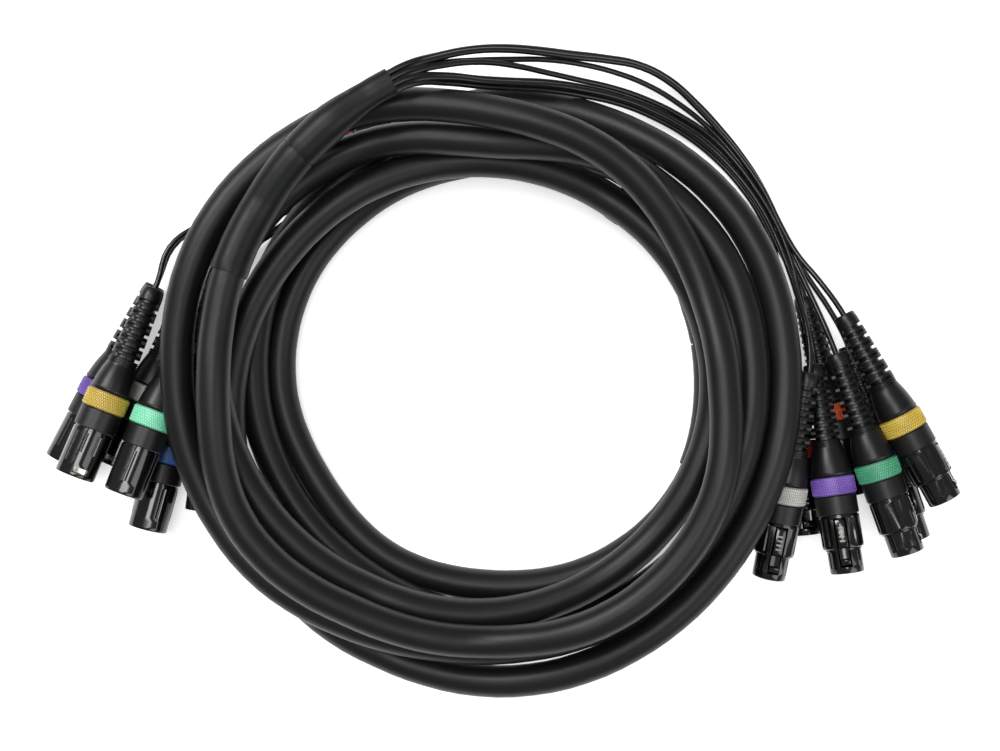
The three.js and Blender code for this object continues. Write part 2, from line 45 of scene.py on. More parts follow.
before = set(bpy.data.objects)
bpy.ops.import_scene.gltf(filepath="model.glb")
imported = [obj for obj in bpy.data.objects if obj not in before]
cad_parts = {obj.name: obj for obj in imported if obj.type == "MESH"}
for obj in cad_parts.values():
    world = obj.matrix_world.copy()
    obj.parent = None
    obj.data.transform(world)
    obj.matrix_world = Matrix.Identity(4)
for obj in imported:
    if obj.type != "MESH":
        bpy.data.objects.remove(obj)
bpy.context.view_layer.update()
BODY = "loom"
MM = 0.001

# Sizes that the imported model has, in millimetres. The play between two pieces comes first
FIT = 0.3

# The main cable and how its turns lie on each other
CABLE_DIAMETER = 15.5
CABLE_FLAT = CABLE_DIAMETER / 10
JACKET_SINK = 0.3
LAY_GAP = 1.3
CABLE_LAY = CABLE_DIAMETER + LAY_GAP
BESIDE_LAY = 12
UNDER_GAP = 0.8
FINE_PER_STEP = 3
FINE_PER_TURN = 36 * FINE_PER_STEP
USUAL_TURN_RADIUS = 125
BEND_OF_RISE = 50
RISE_REACH = 20
SETTLING_ROUNDS = 14

# The sleeves at both ends of the cable
JACKET_SLEEVE_LENGTH = 64
FAN_SLEEVE_LENGTH = 52
SLEEVE_WALL = 0.6
SLEEVE_GAP = 2
SLEEVE_FLOOR = 8.9
SLEEVE_EXTRA = 1.3
SLEEVE_REACH = JACKET_SLEEVE_LENGTH + FAN_SLEEVE_LENGTH + 10
MOUTH = (13, 9)
CABLE_IN_FAN = 12

# The tails
WAYS = 7
TAIL_DIAMETER = 2.8
TAIL_CLEARANCE = 0.3
TAIL_STEP = 18
TAIL_ROOT = 8
ROOT_SPACING_SHARE = 0.8
STRIP_SPACING = 3.1
STRAIGHT_FROM_ROOT = 8
LEAD_OUT = 26
BOOT_STRAIGHT = 3
TAIL_DEPTH = 38

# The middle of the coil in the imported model's frame
COIL_CENTRE = Vector((-3.331, -4.858, 0))

# Sizes of a connector along its axis, from its mating end
MALE_COLLAR_END = 33.4
FEMALE_COLLAR_END = 37
RING_LENGTH = 9.1
BOOT_FRONT = 17.5
BOOT_RELIEF = 33
BOOT_END = 4
NECK_IN_BOOT = 9
BOOT_LENGTH = BOOT_FRONT + BOOT_RELIEF + BOOT_END + 2 * FIT
MALE_LENGTH = MALE_COLLAR_END + RING_LENGTH + BOOT_LENGTH
FEMALE_LENGTH = FEMALE_COLLAR_END + RING_LENGTH + BOOT_LENGTH
RING_DIAMETER = 21
COLLAR_DIAMETER = 20
SHELL_DIAMETER = 19
NOSE_DIAMETER = 16
BARREL_DIAMETER = 19.5
NECK_DIAMETER = 15
NECK_BORE = 10
BOOT_WIDE = 19.6
BOOT_NARROW = 10
BOOT_TAPER_SHARE = 1.25
LATCH_WIDTH = 4.4
LATCH_SLOT_FLOOR = 4.6

# Name, place of the mating end, heading, height of the tail end, roll of the key
MALES = [
    ("yellow", (-197.9, -45, 35.8), 68.4, 25, 24),
    ("green", (-174.7, -53.6, 35.6), 69.5, 25, 150),
    ("grey", (-184.7, -41.7, 13.3), 67.6, 7, -20),
    ("violet", (-210, -39.4, 13.3), 63.4, 7, 120),
    ("blue", (-168.9, -72.8, 13.3), 75.3, 7, -120),
    ("orange", (-140.8, -64, 13.3), 83, 7, 5),
    ("red", (-107, 106.3, 13.3), 20, 7, 0),
]
FEMALES = [
    ("grey", (134.7, -94.6, 26.9), 80.1, 36.2, 0),
    ("violet", (171.2, -91.4, 33.8), 98.2, 25, -12),
    ("green", (199.5, -81.8, 35.7), 109, 29, 70),
    ("yellow", (218.1, -56.7, 33.5), 118, 27, 62),
    ("blue", (209.2, -78.2, 13.6), 108, 7, -50),
    ("orange", (178.7, -56.2, 13.6), 102.9, 7, 30),
    ("red", (155.9, -75.6, 13.6), 96.1, 7, 0),
]

# The cable's distance from the middle every 30 degrees, from 90 degrees on, a turn in a row
TURN_RADII = [
    [151, 138.5, 130.5, 125.5, 131.5, 124.5, 122.5, 122, 117, 108, 110, 118],
    [125, 142, 149, 147, 143, 134, 129, 126.2, 123.2, 123.2, 124.8, 121],
    [113, 127, 133, 128.5, 121.8, 115, 112, 110, 109, 109, 107, 105.5],
    [106, 110, 116, 124, 133, 143, 146, 142.5, 139.5, 139.5, 141.5, 138.5],
    [136, 123, 120, 115.8, 113, 112.8, 118, 127, 130.5, 132, 131, 123.5],
    [110, 107.5, 107, 104, 99, 101, 101.5, 107, 111, 110, 110, 107],
]
FIRST_ANGLE = 90
MOUTH_ANGLE_TOP = 108
MOUTH_ANGLE_UNDER = FIRST_ANGLE + 5 * 360 + 308

# Middle line of the lower tails: distance from the middle of the coil, angle, height
TAILS_UNDER = [
    (110, 48, 4), (111, 62, 1.8), (113, 84, 1.8), (117, 106, 1.8), (122, 122, 1.8), (131, 137, 3.2),
]
TAIL_TO_HIDDEN = [(112, 48, 4), (122, 58, 1.8), (133, 70, 1.8), (140, 82, 2.4)]
ORDER_UNDER = ["violet", "yellow", "grey", "green", "blue", "orange"]

# Where each upper tail strays to: its distance from the middle at each of the angles
STRAY_ANGLES = (99, 90, 76, 62, 48, 35, 24)
STRAY_HEIGHTS = (57, 46, 26, 13, 6, 5, 4)
RAISED_HEIGHTS = (57, 46, 26, 13, 6, 7, 12)
RAISED_ENDS = ("grey", "violet", "green", "yellow")
STRAY_LIFT = 2.4
STRAY_ROOT_SPREAD_SHARE = 1.25
STRAIGHT_FROM_STRAY_ROOT = 3
STRAY_LEAD_OUT = 8
STRAY_RADII = {
    "blue": (152.5, 157.0, 163.6, 173.7, 170.5, 166.7, 163.9),
    "yellow": (150.6, 155.0, 161.2, 171.7, 168.5, 165.3, 162.8),
    "green": (148.7, 150.9, 159.2, 165.5, 166.6, 163.9, 161.3),
    "violet": (146.8, 149.2, 151.2, 158.2, 163.6, 162.5, 160.1),
    "orange": (143.2, 141.8, 148.4, 155.9, 161.6, 161.1, 158.7),
    "grey": (141.3, 139.9, 146.4, 154.2, 159.4, 159.7, 157.4),
    "red": (139.5, 138.2, 144.2, 152.0, 157.2, 158.3, 156.2),
}


# Curves and the route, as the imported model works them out


def catmull_rom(points, share, centripetal):
    """The point at a share from 0 to 1 of a smooth curve through the points."""
    smallest_gap = 1e-4
    last = len(points) - 1
    spot = last * share
    start = int(math.floor(spot))
    weight = spot - start
    if start >= last:
        start = last - 1
        weight = 1.0
    before = points[start - 1] if start > 0 else 2 * points[0] - points[1]
    after = points[start + 2] if start + 2 <= last else 2 * points[last] - points[last - 1]
    p1 = points[start]
    p2 = points[start + 1]
    if centripetal:
        pairs = ((before, p1), (p1, p2), (p2, after))
        d0, d1, d2 = [math.sqrt(np.linalg.norm(b - a)) for a, b in pairs]
        if d1 < smallest_gap:
            d1 = 1.0
        if d0 < smallest_gap:
            d0 = d1
        if d2 < smallest_gap:
            d2 = d1
        t1 = ((p1 - before) / d0 - (p2 - before) / (d0 + d1) + (p2 - p1) / d1) * d1
        t2 = ((p2 - p1) / d1 - (after - p1) / (d1 + d2) + (after - p2) / d2) * d1
    else:
        t1 = 0.5 * (p2 - before)
        t2 = 0.5 * (after - p1)
    c2 = 3 * (p2 - p1) - 2 * t1 - t2
    c3 = 2 * (p1 - p2) + t1 + t2
    return p1 + weight * (t1 + weight * (c2 + weight * c3))


def spaced(points, step, divisions=200):
    """Points an even distance apart, about a step each, along the smooth curve through points."""
    fine = [catmull_rom(points, i / divisions, True) for i in range(divisions + 1)]
    runs = [0.0]
    for a, b in zip(fine, fine[1:]):
        runs.append(runs[-1] + float(np.linalg.norm(b - a)))
    count = round(runs[-1] / step)
    shares = np.linspace(0, 1, divisions + 1)
    return [
        catmull_rom(points, float(np.interp(runs[-1] * i / count, runs, shares)), True)
        for i in range(count + 1)
    ]


def polar(radius, angle, height):
    """The point at a distance and a bearing from the middle of the coil."""
    bearing = math.radians(angle)
    return np.array([radius * math.cos(bearing), radius * math.sin(bearing), height])


def unit(vector):
    """The vector at a length of one."""
    return vector / np.linalg.norm(vector)


class Connector:
    """Where one connector lies. Its own Z runs from the mating end to the tail, Y to the key."""

    def __init__(self, kind, name, nose, heading, end, roll):
        self.kind = kind
        self.name = name
        self.size = MALE_LENGTH if kind == "male" else FEMALE_LENGTH
        self.collar_end = MALE_COLLAR_END if kind == "male" else FEMALE_COLLAR_END
        rise = math.asin((end - nose[2]) / self.size)
        bearing = math.radians(heading)
        level = math.cos(rise)
        axis = Vector((math.cos(bearing) * level, math.sin(bearing) * level, math.sin(rise)))
        side = Vector((0, 0, 1)).cross(axis).normalized()
        top = axis.cross(side)
        basis = Matrix((side, top, axis)).transposed()
        self.nose = np.array(nose, dtype=float)
        self.axis = np.array(axis)
        turn = basis @ Matrix.Rotation(math.radians(roll), 3, "Z")
        self.place = Matrix.Translation(Vector(nose) + COIL_CENTRE) @ turn.to_4x4()

    def along(self, distance):
        """The point of the axis at a distance from the mating end."""
        return self.nose + self.axis * distance


def named(ends, name):
    """The connector of that name."""
    return next(c for c in ends if c.name == name)


def outer_radius(along, collar_end):
    """How far a connector reaches from its axis, as the cable above it feels it."""
    ring_end = collar_end + RING_LENGTH
    if along < ring_end:
        return RING_DIAMETER / 2
    share = min(1, (along - ring_end) / BOOT_LENGTH * BOOT_TAPER_SHARE)
    return (BOOT_WIDE + (BOOT_NARROW - BOOT_WIDE) * share) / 2


def root_shifts():
    """Where the tails leave their sleeve: across and up, in two rows."""
    upper = math.ceil(WAYS / 2)
    height = TAIL_DIAMETER / 2 - TAIL_CLEARANCE
    shifts = []
    for i in range(WAYS):
        high = i % 2 == 0
        row = upper if high else WAYS - upper
        place = i // 2 - (row - 1) / 2
        across = -place * TAIL_DIAMETER * ROOT_SPACING_SHARE
        shifts.append((across, height if high else -height))
    return shifts


def tail_points(mouth, middle, shift, connector, root_shift, straight, lead_out):
    """The stations of one tail, from its sleeve's mouth to just inside its boot."""
    point, along, side = mouth
    tip = connector.along(connector.size)
    points = []
    for back in (TAIL_ROOT, 0, -straight):
        spot = point - along * back + side * root_shift[0]
        points.append(spot + np.array([0, 0, root_shift[1]]))
    for radius, angle, height in middle:
        points.append(polar(radius + shift, angle, height))
    points.append(tip + connector.axis * lead_out)
    points.append(tip + connector.axis * BOOT_STRAIGHT)
    return spaced(points, TAIL_STEP) + [connector.along(connector.size - TAIL_DEPTH)]


def strip(mouth, middle, order, ends):
    """Tails side by side along one middle line, in the order given."""
    shifts = root_shifts()
    spare = WAYS - len(order)
    tails = []
    for i, name in enumerate(order):
        shift = ((len(order) - 1) / 2 - i) * STRIP_SPACING
        connector = named(ends, name)
        root = shifts[i + spare]
        path = tail_points(mouth, middle, shift, connector, root, STRAIGHT_FROM_ROOT, LEAD_OUT)
        tails.append((connector, path))
    return tails


def stray_strip(mouth, ends):
    """The upper tails with the wander of the real ones, in three loose groups."""
    shifts = root_shifts()
    tails = []
    for i, (name, radii) in enumerate(STRAY_RADII.items()):
        lift = STRAY_LIFT if i % 2 else 0
        heights = RAISED_HEIGHTS if name in RAISED_ENDS else STRAY_HEIGHTS
        middle = [
            (radius, angle, height + lift)
            for radius, angle, height in zip(radii, STRAY_ANGLES, heights)
        ]
        connector = named(ends, name)
        root = (shifts[i][0] * STRAY_ROOT_SPREAD_SHARE, shifts[i][1])
        path = tail_points(
            mouth, middle, 0, connector, root, STRAIGHT_FROM_STRAY_ROOT, STRAY_LEAD_OUT
        )
        tails.append((connector, path))
    return tails


def flat_route():
    """The route seen from above, from the upper mouth to the lower one."""
    table = [radius for row in TURN_RADII for radius in row]
    knots = [np.array([i, radius], dtype=float) for i, radius in enumerate(table)]
    per_knot = 360 / len(TURN_RADII[0])
    step = 360 / FINE_PER_TURN
    count = round((MOUTH_ANGLE_UNDER - MOUTH_ANGLE_TOP) / step)
    route = []
    for i in range(count + 1):
        angle = MOUTH_ANGLE_TOP + i * step
        share = (angle - FIRST_ANGLE) / per_knot / (len(table) - 1)
        route.append(polar(catmull_rom(knots, share, False)[1], angle, 0))
    return np.array(route)


def runs_along(points):
    """The distance run from the first point to each of them."""
    return np.concatenate([[0], np.cumsum(np.linalg.norm(np.diff(points, axis=0), axis=1))])


def lay_route(route, under):
    """Lets every turn rest on what lies under it."""
    last = len(route) - 1
    runs = runs_along(route[:, :2])
    to_end = np.minimum(runs, runs[-1] - runs)
    sleeved = to_end < SLEEVE_REACH
    spacing = runs[2] - runs[1]
    radius = CABLE_DIAMETER / 2
    usual_step = 2 * math.pi * USUAL_TURN_RADIUS / FINE_PER_TURN
    own_reach = round(2 * CABLE_DIAMETER / usual_step)
    floor_height = radius - CABLE_FLAT
    for i in range(last + 1):
        gap = UNDER_GAP + (SLEEVE_EXTRA if sleeved[i] else 0)
        apart = np.sum((under[:, :2] - route[i, :2]) ** 2, axis=1)
        reaches = radius + under[:, 3] + gap
        near = apart < reaches**2
        rest = radius
        if near.any():
            tops = under[near, 2] + np.sqrt(reaches[near] ** 2 - apart[near])
            rest = max(radius, float(np.max(tops)))
        lowest = SLEEVE_FLOOR if sleeved[i] else floor_height
        route[i, 2] = max(lowest, rest if rest > radius else 0)
    steps = np.arange(-RISE_REACH, RISE_REACH + 1)
    falls = (steps * spacing) ** 2 / (2 * BEND_OF_RISE)
    for _ in range(SETTLING_ROUNDS):
        heights = route[:, 2].copy()
        for step, fall in zip(steps, falls):
            index = np.clip(np.arange(last + 1) + step, 0, last)
            heights = np.maximum(heights, route[index, 2] - fall)
        route[:, 2] = heights
        for i in range(last, -1, -1):
            j = i + own_reach
            if j > last:
                continue
            lays = CABLE_LAY + np.where(sleeved[i] | sleeved[j:], SLEEVE_EXTRA, 0)
            apart = np.sum((route[j:, :2] - route[i, :2]) ** 2, axis=1)
            near = apart < lays**2
            rise = np.sqrt(np.maximum(lays**2 - apart, 0))
            beside = (apart > BESIDE_LAY**2) & (route[j:, 2] - route[i, 2] >= rise)
            near &= ~beside
            if near.any():
                route[i, 2] = max(route[i, 2], np.max((route[j:, 2] + rise)[near]))
    return route


class Layout:
    """The whole loom's places: connectors, cable stations and tails."""

    def __init__(self):
        self.males = [Connector("male", *row) for row in MALES]
        self.females = [Connector("female", *row) for row in FEMALES]
        route = flat_route()
        ahead = route[-1] - route[-3]
        ahead[2] = 0
        point = route[-1].copy()
        side = unit(point)
        point[2] = SLEEVE_FLOOR
        mouth = (point, unit(ahead), side)
        hidden = named(self.males, "red")
        root = root_shifts()[0]
        first = tail_points(mouth, TAIL_TO_HIDDEN, 0, hidden, root, STRAIGHT_FROM_ROOT, LEAD_OUT)
        self.lower_tails = [(hidden, first)] + strip(mouth, TAILS_UNDER, ORDER_UNDER, self.males)
        under = []
        for connector in self.males + self.females:
            for i in range(int(connector.size // TAIL_DIAMETER) + 1):
                along = i * TAIL_DIAMETER
                under.append([*connector.along(along), outer_radius(along, connector.collar_end)])
        for _, path in self.lower_tails:
            for a, b in zip(path[2:-2], path[3:-1]):
                for share in (0, 0.2, 0.4, 0.6, 0.8):
                    spot = a + (b - a) * share
                    under.append([*spot, TAIL_DIAMETER / 2 + TAIL_CLEARANCE])
        self.fine = lay_route(route, np.array(under))
        self.runs = runs_along(self.fine)
        start = self.fine[0]
        along = unit(start - self.fine[FINE_PER_STEP])
        mouth = (start, along, unit(start * (1, 1, 0)))
        self.upper_tails = stray_strip(mouth, self.females)

    def at(self, run):
        """The point of the cable's middle line at a run from the upper mouth."""
        return np.array([np.interp(run, self.runs, self.fine[:, k]) for k in range(3)])

    @property
    def length(self):
        """The cable's length from mouth to mouth."""
        return float(self.runs[-1])


layout = Layout()


def metres(point):
    """A point of the coil's millimetres in the scene's metres."""
    return (Vector([float(x) for x in point]) + COIL_CENTRE) * MM


# Materials


def linear(hex_colour):
    """An sRGB hex colour as the linear colour that the shader wants."""
    values = [int(hex_colour[i : i + 2], 16) / 255 for i in (1, 3, 5)]
    channels = [v / 12.92 if v <= 0.04045 else ((v + 0.055) / 1.055) ** 2.4 for v in values]
    return (*channels, 1.0)


def add(tree, kind, inputs=None, **settings):
    """A node with its settings and its inputs, which are values or other nodes' outputs."""
    node = tree.nodes.new(kind)
    for key, value in settings.items():
        setattr(node, key, value)
    for key, value in (inputs or {}).items():
        socket = node.inputs[key]
        if isinstance(value, bpy.types.NodeSocket):
            tree.links.new(value, socket)
        else:
            socket.default_value = value
    return node


def reckon(tree, operation, first, second):
    """What a Math node makes of two values or outputs."""
    return add(tree, "ShaderNodeMath", {0: first, 1: second}, operation=operation).outputs[0]


def noise(tree, place, size_mm, detail):
    """Noise of about a size over the piece."""
    inputs = {"Vector": place, "Scale": 1 / (size_mm * MM), "Detail": detail}
    return add(tree, "ShaderNodeTexNoise", inputs).outputs["Fac"]


def surface(name, **inputs):
    """A material with a Principled shader whose plain values are set on its own sockets."""
    material = bpy.data.materials.new(name)
    material.use_nodes = True
    tree = material.node_tree
    tree.nodes.clear()
    shader = add(tree, "ShaderNodeBsdfPrincipled", inputs)
    add(tree, "ShaderNodeOutputMaterial", {"Surface": shader.outputs[0]})
    return material, tree, shader


def grained(name, colours, roughness, grain_mm, depth_mm, spread, cloud_mm, **more):
    """A moulded surface: a fine grain in its height, a slow change of colour and of gloss."""
    material, tree, shader = surface(name, **more)
    place = add(tree, "ShaderNodeTexCoord").outputs["Object"]
    ramp = add(tree, "ShaderNodeValToRGB", {"Fac": noise(tree, place, cloud_mm, 3.0)})
    for stop, position, colour in zip(ramp.color_ramp.elements, (0.3, 0.7), colours):
        stop.position = position
        stop.color = linear(colour)
    tree.links.new(ramp.outputs["Color"], shader.inputs["Base Color"])
    grain = noise(tree, place, grain_mm, 2.0)
    gloss = add(
        tree, "ShaderNodeMapRange",
        {"Value": grain, "To Min": roughness - spread, "To Max": roughness + spread},
    )
    tree.links.new(gloss.outputs["Result"], shader.inputs["Roughness"])
    bump = add(tree, "ShaderNodeBump", {"Height": grain, "Distance": depth_mm * MM})
    tree.links.new(bump.outputs["Normal"], shader.inputs["Normal"])
    return material


def pvc_jacket():
    """Extruded soft PVC: matt black with a broad soft sheen and a fine pebble from the die."""
    return grained(
        "extruded_pvc_jacket", ("#121112", "#181718"),
        roughness=0.42, grain_mm=0.9, depth_mm=0.02, spread=0.05, cloud_mm=40,
        **{"Specular IOR Level": 0.3},
    )


def tail_jacket():
    """Thin extruded PVC, a little glossier than the thick cable."""
    return grained(
        "thin_pvc_jacket", ("#0c0c0d", "#121213"),
        roughness=0.3, grain_mm=0.6, depth_mm=0.008, spread=0.05, cloud_mm=20,
    )


def shrunk_sleeve():
    """Polyolefin heat-shrink: smooth, cool black, with a satin gloss."""
    return grained(
        "shrunk_polyolefin_sleeve", ("#08090a", "#0e0f11"),
        roughness=0.42, grain_mm=1.6, depth_mm=0.02, spread=0.06, cloud_mm=14,
        **{"Specular IOR Level": 0.24},
    )


def moulded_boot():
    """Injection-moulded rubber: satin black with a fine spark-eroded texture."""
    return grained(
        "moulded_rubber_boot", ("#0d0d0e", "#131213"),
        roughness=0.36, grain_mm=0.35, depth_mm=0.012, spread=0.06, cloud_mm=15,
        **{"Specular IOR Level": 0.36},
    )


def satin_collar():
    """Zinc casting with a satin black coat."""
    return grained(
        "satin_black_coated_zinc", ("#0f0f10", "#151415"),
        roughness=0.4, grain_mm=0.3, depth_mm=0.01, spread=0.06, cloud_mm=12,
        **{"Specular IOR Level": 0.36},
    )


def glossy_shell():
    """Zinc casting in deep gloss black lacquer, with a slight orange peel."""
    return grained(
        "gloss_black_lacquered_zinc", ("#040404", "#080808"),
        roughness=0.16, grain_mm=2.5, depth_mm=0.002, spread=0.04, cloud_mm=10,
        **{"Coat Weight": 0.4, "Coat Roughness": 0.06},
    )


def worn_bar():
    """Zinc with its lacquer rubbed to a dull grey, as on the latch's raised bars."""
    return grained(
        "rubbed_zinc_bar", ("#7a7770", "#a19d94"),
        roughness=0.35, grain_mm=0.3, depth_mm=0.006, spread=0.08, cloud_mm=3,
    )


def black_insert():
    """Glass-filled nylon insert, dull black."""
    return grained(
        "glass_filled_nylon_insert", ("#151515", "#1d1d1d"),
        roughness=0.6, grain_mm=0.3, depth_mm=0.02, spread=0.08, cloud_mm=6,
    )


def plated_contact():
    """Silver-plated brass contact, lightly tarnished."""
    return grained(
        "silver_plated_brass", ("#b9b4a8", "#d6d2c6"),
        roughness=0.25, grain_mm=0.5, depth_mm=0.004, spread=0.08, cloud_mm=3, Metallic=1.0,
    )


RING_HUES = {
    "yellow": ("#c9a93c", "#dcc158"),
    "green": ("#449a74", "#59b088"),
    # The same green dye made lighter for the male green ring: painted light
    "mint": ("#7ce8b9", "#9cf5cf"),
    "violet": ("#7350ad", "#8a68c4"),
    "grey": ("#c2c4bf", "#d4d5d1"),
    "blue": ("#245ca6", "#3570ba"),
    "orange": ("#cc4a18", "#da5a24"),
    "red": ("#a82a26", "#b93631"),
}
# How much darker the ring's body is between the knurls: painted shade
GROOVE_SHADE_SHARE = 0.75


def dyed_ring(hue):
    """Moulded nylon in a strong dye, satin, with a faint flow marking."""
    return grained(
        f"dyed_nylon_ring_{hue}", RING_HUES[hue],
        roughness=0.42, grain_mm=0.4, depth_mm=0.01, spread=0.06, cloud_mm=8,
    )


def painted_shade_groove(hue):
    """The same nylon between the knurls, painted darker as the shade that falls there."""
    shades = []
    for colour in RING_HUES[hue]:
        channels = [int(int(colour[i : i + 2], 16) * GROOVE_SHADE_SHARE) for i in (1, 3, 5)]
        shades.append("#" + "".join(f"{channel:02x}" for channel in channels))
    return grained(
        f"shaded_nylon_groove_{hue}", shades,
        roughness=0.5, grain_mm=0.4, depth_mm=0.01, spread=0.06, cloud_mm=8,
    )


# Mesh building


class Piece:
    """Collects points and faces in a piece's own millimetres, then writes one closed mesh."""

    def __init__(self):
        self.points = []
        self.faces = []
        self.looks = []

    def extend(self, points, faces, look=0):
        """Adds ready points and faces in one of the piece's materials."""
        start = len(self.points)
        self.points.extend([tuple(float(x) for x in p) for p in points])
        self.faces.extend([tuple(i + start for i in face) for face in faces])
        self.looks.extend([look] * len(faces))

    def mesh(self, name, place, materials, sharp=35):
        """The mesh at a place in the scene, with edges sharp from an angle in degrees on."""
        mesh = bpy.data.meshes.new(name)
        mesh.from_pydata(self.points, [], self.faces)
        for material in materials:
            mesh.materials.append(material)
        mesh.polygons.foreach_set("material_index", self.looks)
        mesh.transform(Matrix.Scale(MM, 4) @ place)
        mesh.update()
        shape = bmesh.new()
        shape.from_mesh(mesh)
        bmesh.ops.recalc_face_normals(shape, faces=shape.faces)
        shape.to_mesh(mesh)
        shape.free()
        mesh.shade_smooth()
        mesh.set_sharp_from_angle(angle=math.radians(sharp))
        return mesh


def put(name, mesh, body, node):
    """Adds the piece to the scene, on its body, in place of the node it stands for."""
    piece = bpy.data.objects.new(name, mesh)
    bpy.context.scene.collection.objects.link(piece)
    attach(piece, body)
    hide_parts(node)


def plain(along, angle, radius):
    """The radius of a piece that is round all over."""
    return radius


def band(first, second, around):
    """The faces between two rings of points, each ring given by its first point."""
    after = [(k + 1) % around for k in range(around)]
    return [(first + k, first + n, second + n, second + k) for k, n in enumerate(after)]


def look_of(station):
    """The material after a station: its third value, or else the piece's first material."""
    return station[2] if len(station) > 2 else 0


def skin(piece, outline, around, radius_at, closed):
    """Adds a turned skin, whose radius may change round the axis, and gives its first point.

    An outline is a row of stations: distance along, radius and, where it isn't the first one, the
    material. A station given twice keeps the edge there sharp. A closed outline joins its last
    ring to its first.
    """
    start = len(piece.points)
    for station in outline:
        for k in range(around):
            angle = 2 * math.pi * k / around
            reach = radius_at(station[0], angle, station[1])
            piece.points.append((reach * math.sin(angle), reach * math.cos(angle), station[0]))
    count = len(outline)
    for i in range(count if closed else count - 1):
        piece.faces += band(start + i * around, start + (i + 1) % count * around, around)
        piece.looks += [look_of(outline[i])] * around
    return start


def turned(piece, outline, around, radius_at=plain):
    """A turned piece whose outline closes on itself."""
    skin(piece, outline, around, radius_at, True)


def capped(piece, outline, around, radius_at=plain):
    """A turned piece whose outline starts and ends near its axis, with flat caps there."""
    start = skin(piece, outline, around, radius_at, False)
    last = start + (len(outline) - 1) * around
    for ring, station in ((start, outline[0]), (last, outline[-2])):
        piece.faces.append(tuple(ring + k for k in range(around)))
        piece.looks.append(look_of(station))


def add_rounded(piece, shape, edges, bevel, look=0):
    """Rounds the edges of a shape and adds it to the piece."""
    bmesh.ops.bevel(shape, geom=edges, offset=bevel, segments=2, profile=0.5, affect="EDGES")
    shape.verts.index_update()
    faces = [[v.index for v in f.verts] for f in shape.faces]
    piece.extend([v.co for v in shape.verts], faces, look)
    shape.free()


def bar(piece, low, high, bevel, look=0):
    """A rounded bar between two corners."""
    shape = bmesh.new()
    bmesh.ops.create_cube(shape, size=1)
    size = [high[k] - low[k] for k in range(3)]
    middle = [(high[k] + low[k]) / 2 for k in range(3)]
    for vertex in shape.verts:
        vertex.co = Vector([vertex.co[k] * size[k] + middle[k] for k in range(3)])
    add_rounded(piece, shape, shape.edges[:], bevel, look)


def sunk(panels, along, angle, radius):
    """The radius of a barrel with panels sunk into it.

    A panel's row holds its start and end along the axis, its depth, and the spans of degrees that
    it covers on both sides of the key.
    """
    off_key = abs((math.degrees(angle) + 180) % 360 - 180)
    for start, end, depth, spans in panels:
        if start < along < end and any(low < off_key < high for low, high in spans):
            return radius - depth
    return radius


# Repeated bars round a barrel, made by Geometry Nodes


def bars_tree(material):
    """A tree that sets bars round the Z axis, in rows along it, each row half a step on."""
    tree = bpy.data.node_groups.new("bars_round_a_barrel", "GeometryNodeTree")
    face = tree.interface
    face.new_socket("Geometry", in_out="OUTPUT", socket_type="NodeSocketGeometry")
    for name, kind in (
        ("Count", "Int"), ("Rows", "Int"), ("Radius", "Float"), ("First row", "Float"),
        ("Row spacing", "Float"), ("Bar size", "Vector"),
    ):
        face.new_socket(name, in_out="INPUT", socket_type=f"NodeSocket{kind}")
    given = add(tree, "NodeGroupInput").outputs
    bar_shape = add(tree, "GeometryNodeMeshCube", {"Size": given["Bar size"]})
    circle = add(
        tree, "GeometryNodeMeshCircle", {"Vertices": given["Count"], "Radius": given["Radius"]}
    )
    index = add(tree, "GeometryNodeInputIndex").outputs[0]
    step = reckon(tree, "DIVIDE", 2 * math.pi, given["Count"])
    angle = reckon(tree, "MULTIPLY", index, step)
    turn = add(tree, "ShaderNodeCombineXYZ", {"Z": angle}).outputs[0]
    ring = add(
        tree, "GeometryNodeInstanceOnPoints",
        {"Points": circle.outputs[0], "Instance": bar_shape.outputs["Mesh"], "Rotation": turn},
    )
    start = add(tree, "ShaderNodeCombineXYZ", {"Z": given["First row"]}).outputs[0]
    offset = add(tree, "ShaderNodeCombineXYZ", {"Z": given["Row spacing"]}).outputs[0]
    rows = add(
        tree, "GeometryNodeMeshLine",
        {"Count": given["Rows"], "Start Location": start, "Offset": offset},
    )
    half = reckon(tree, "MULTIPLY", step, 0.5)
    row = add(tree, "GeometryNodeInputIndex").outputs[0]
    odd = reckon(tree, "MODULO", row, 2.0)
    stagger = reckon(tree, "MULTIPLY", odd, half)
    row_turn = add(tree, "ShaderNodeCombineXYZ", {"Z": stagger}).outputs[0]
    whole = add(
        tree, "GeometryNodeInstanceOnPoints",
        {"Points": rows.outputs[0], "Instance": ring.outputs[0], "Rotation": row_turn},
    )
    real = add(tree, "GeometryNodeRealizeInstances", {"Geometry": whole.outputs[0]})
    dressed = add(
        tree, "GeometryNodeSetMaterial", {"Geometry": real.outputs[0], "Material": material}
    )
    add(tree, "NodeGroupOutput", {"Geometry": dressed.outputs[0]})
    return tree


def bars_round(material, **sizes):
    """The points and faces, in millimetres, that the tree makes for the given sizes."""
    tree = bars_tree(material)
    mesh = bpy.data.meshes.new("bars")
    carrier = bpy.data.objects.new("bars", mesh)
    bpy.context.scene.collection.objects.link(carrier)
    modifier = carrier.modifiers.new("bars", "NODES")
    modifier.node_group = tree
    for item in tree.interface.items_tree:
        if item.in_out == "INPUT" and item.name in sizes:
            modifier[item.identifier] = sizes[item.name]
    shown = carrier.evaluated_get(bpy.context.evaluated_depsgraph_get())
    made = bpy.data.meshes.new_from_object(shown)
    points = [tuple(v.co / MM) for v in made.vertices]
    faces = [tuple(p.vertices) for p in made.polygons]
    bpy.data.objects.remove(carrier)
    bpy.data.meshes.remove(made)
    return points, faces


# The connector's pieces, each made once in its own frame


# The order of a shell's materials
GLOSS, COAT, INSERT, CONTACT = range(4)

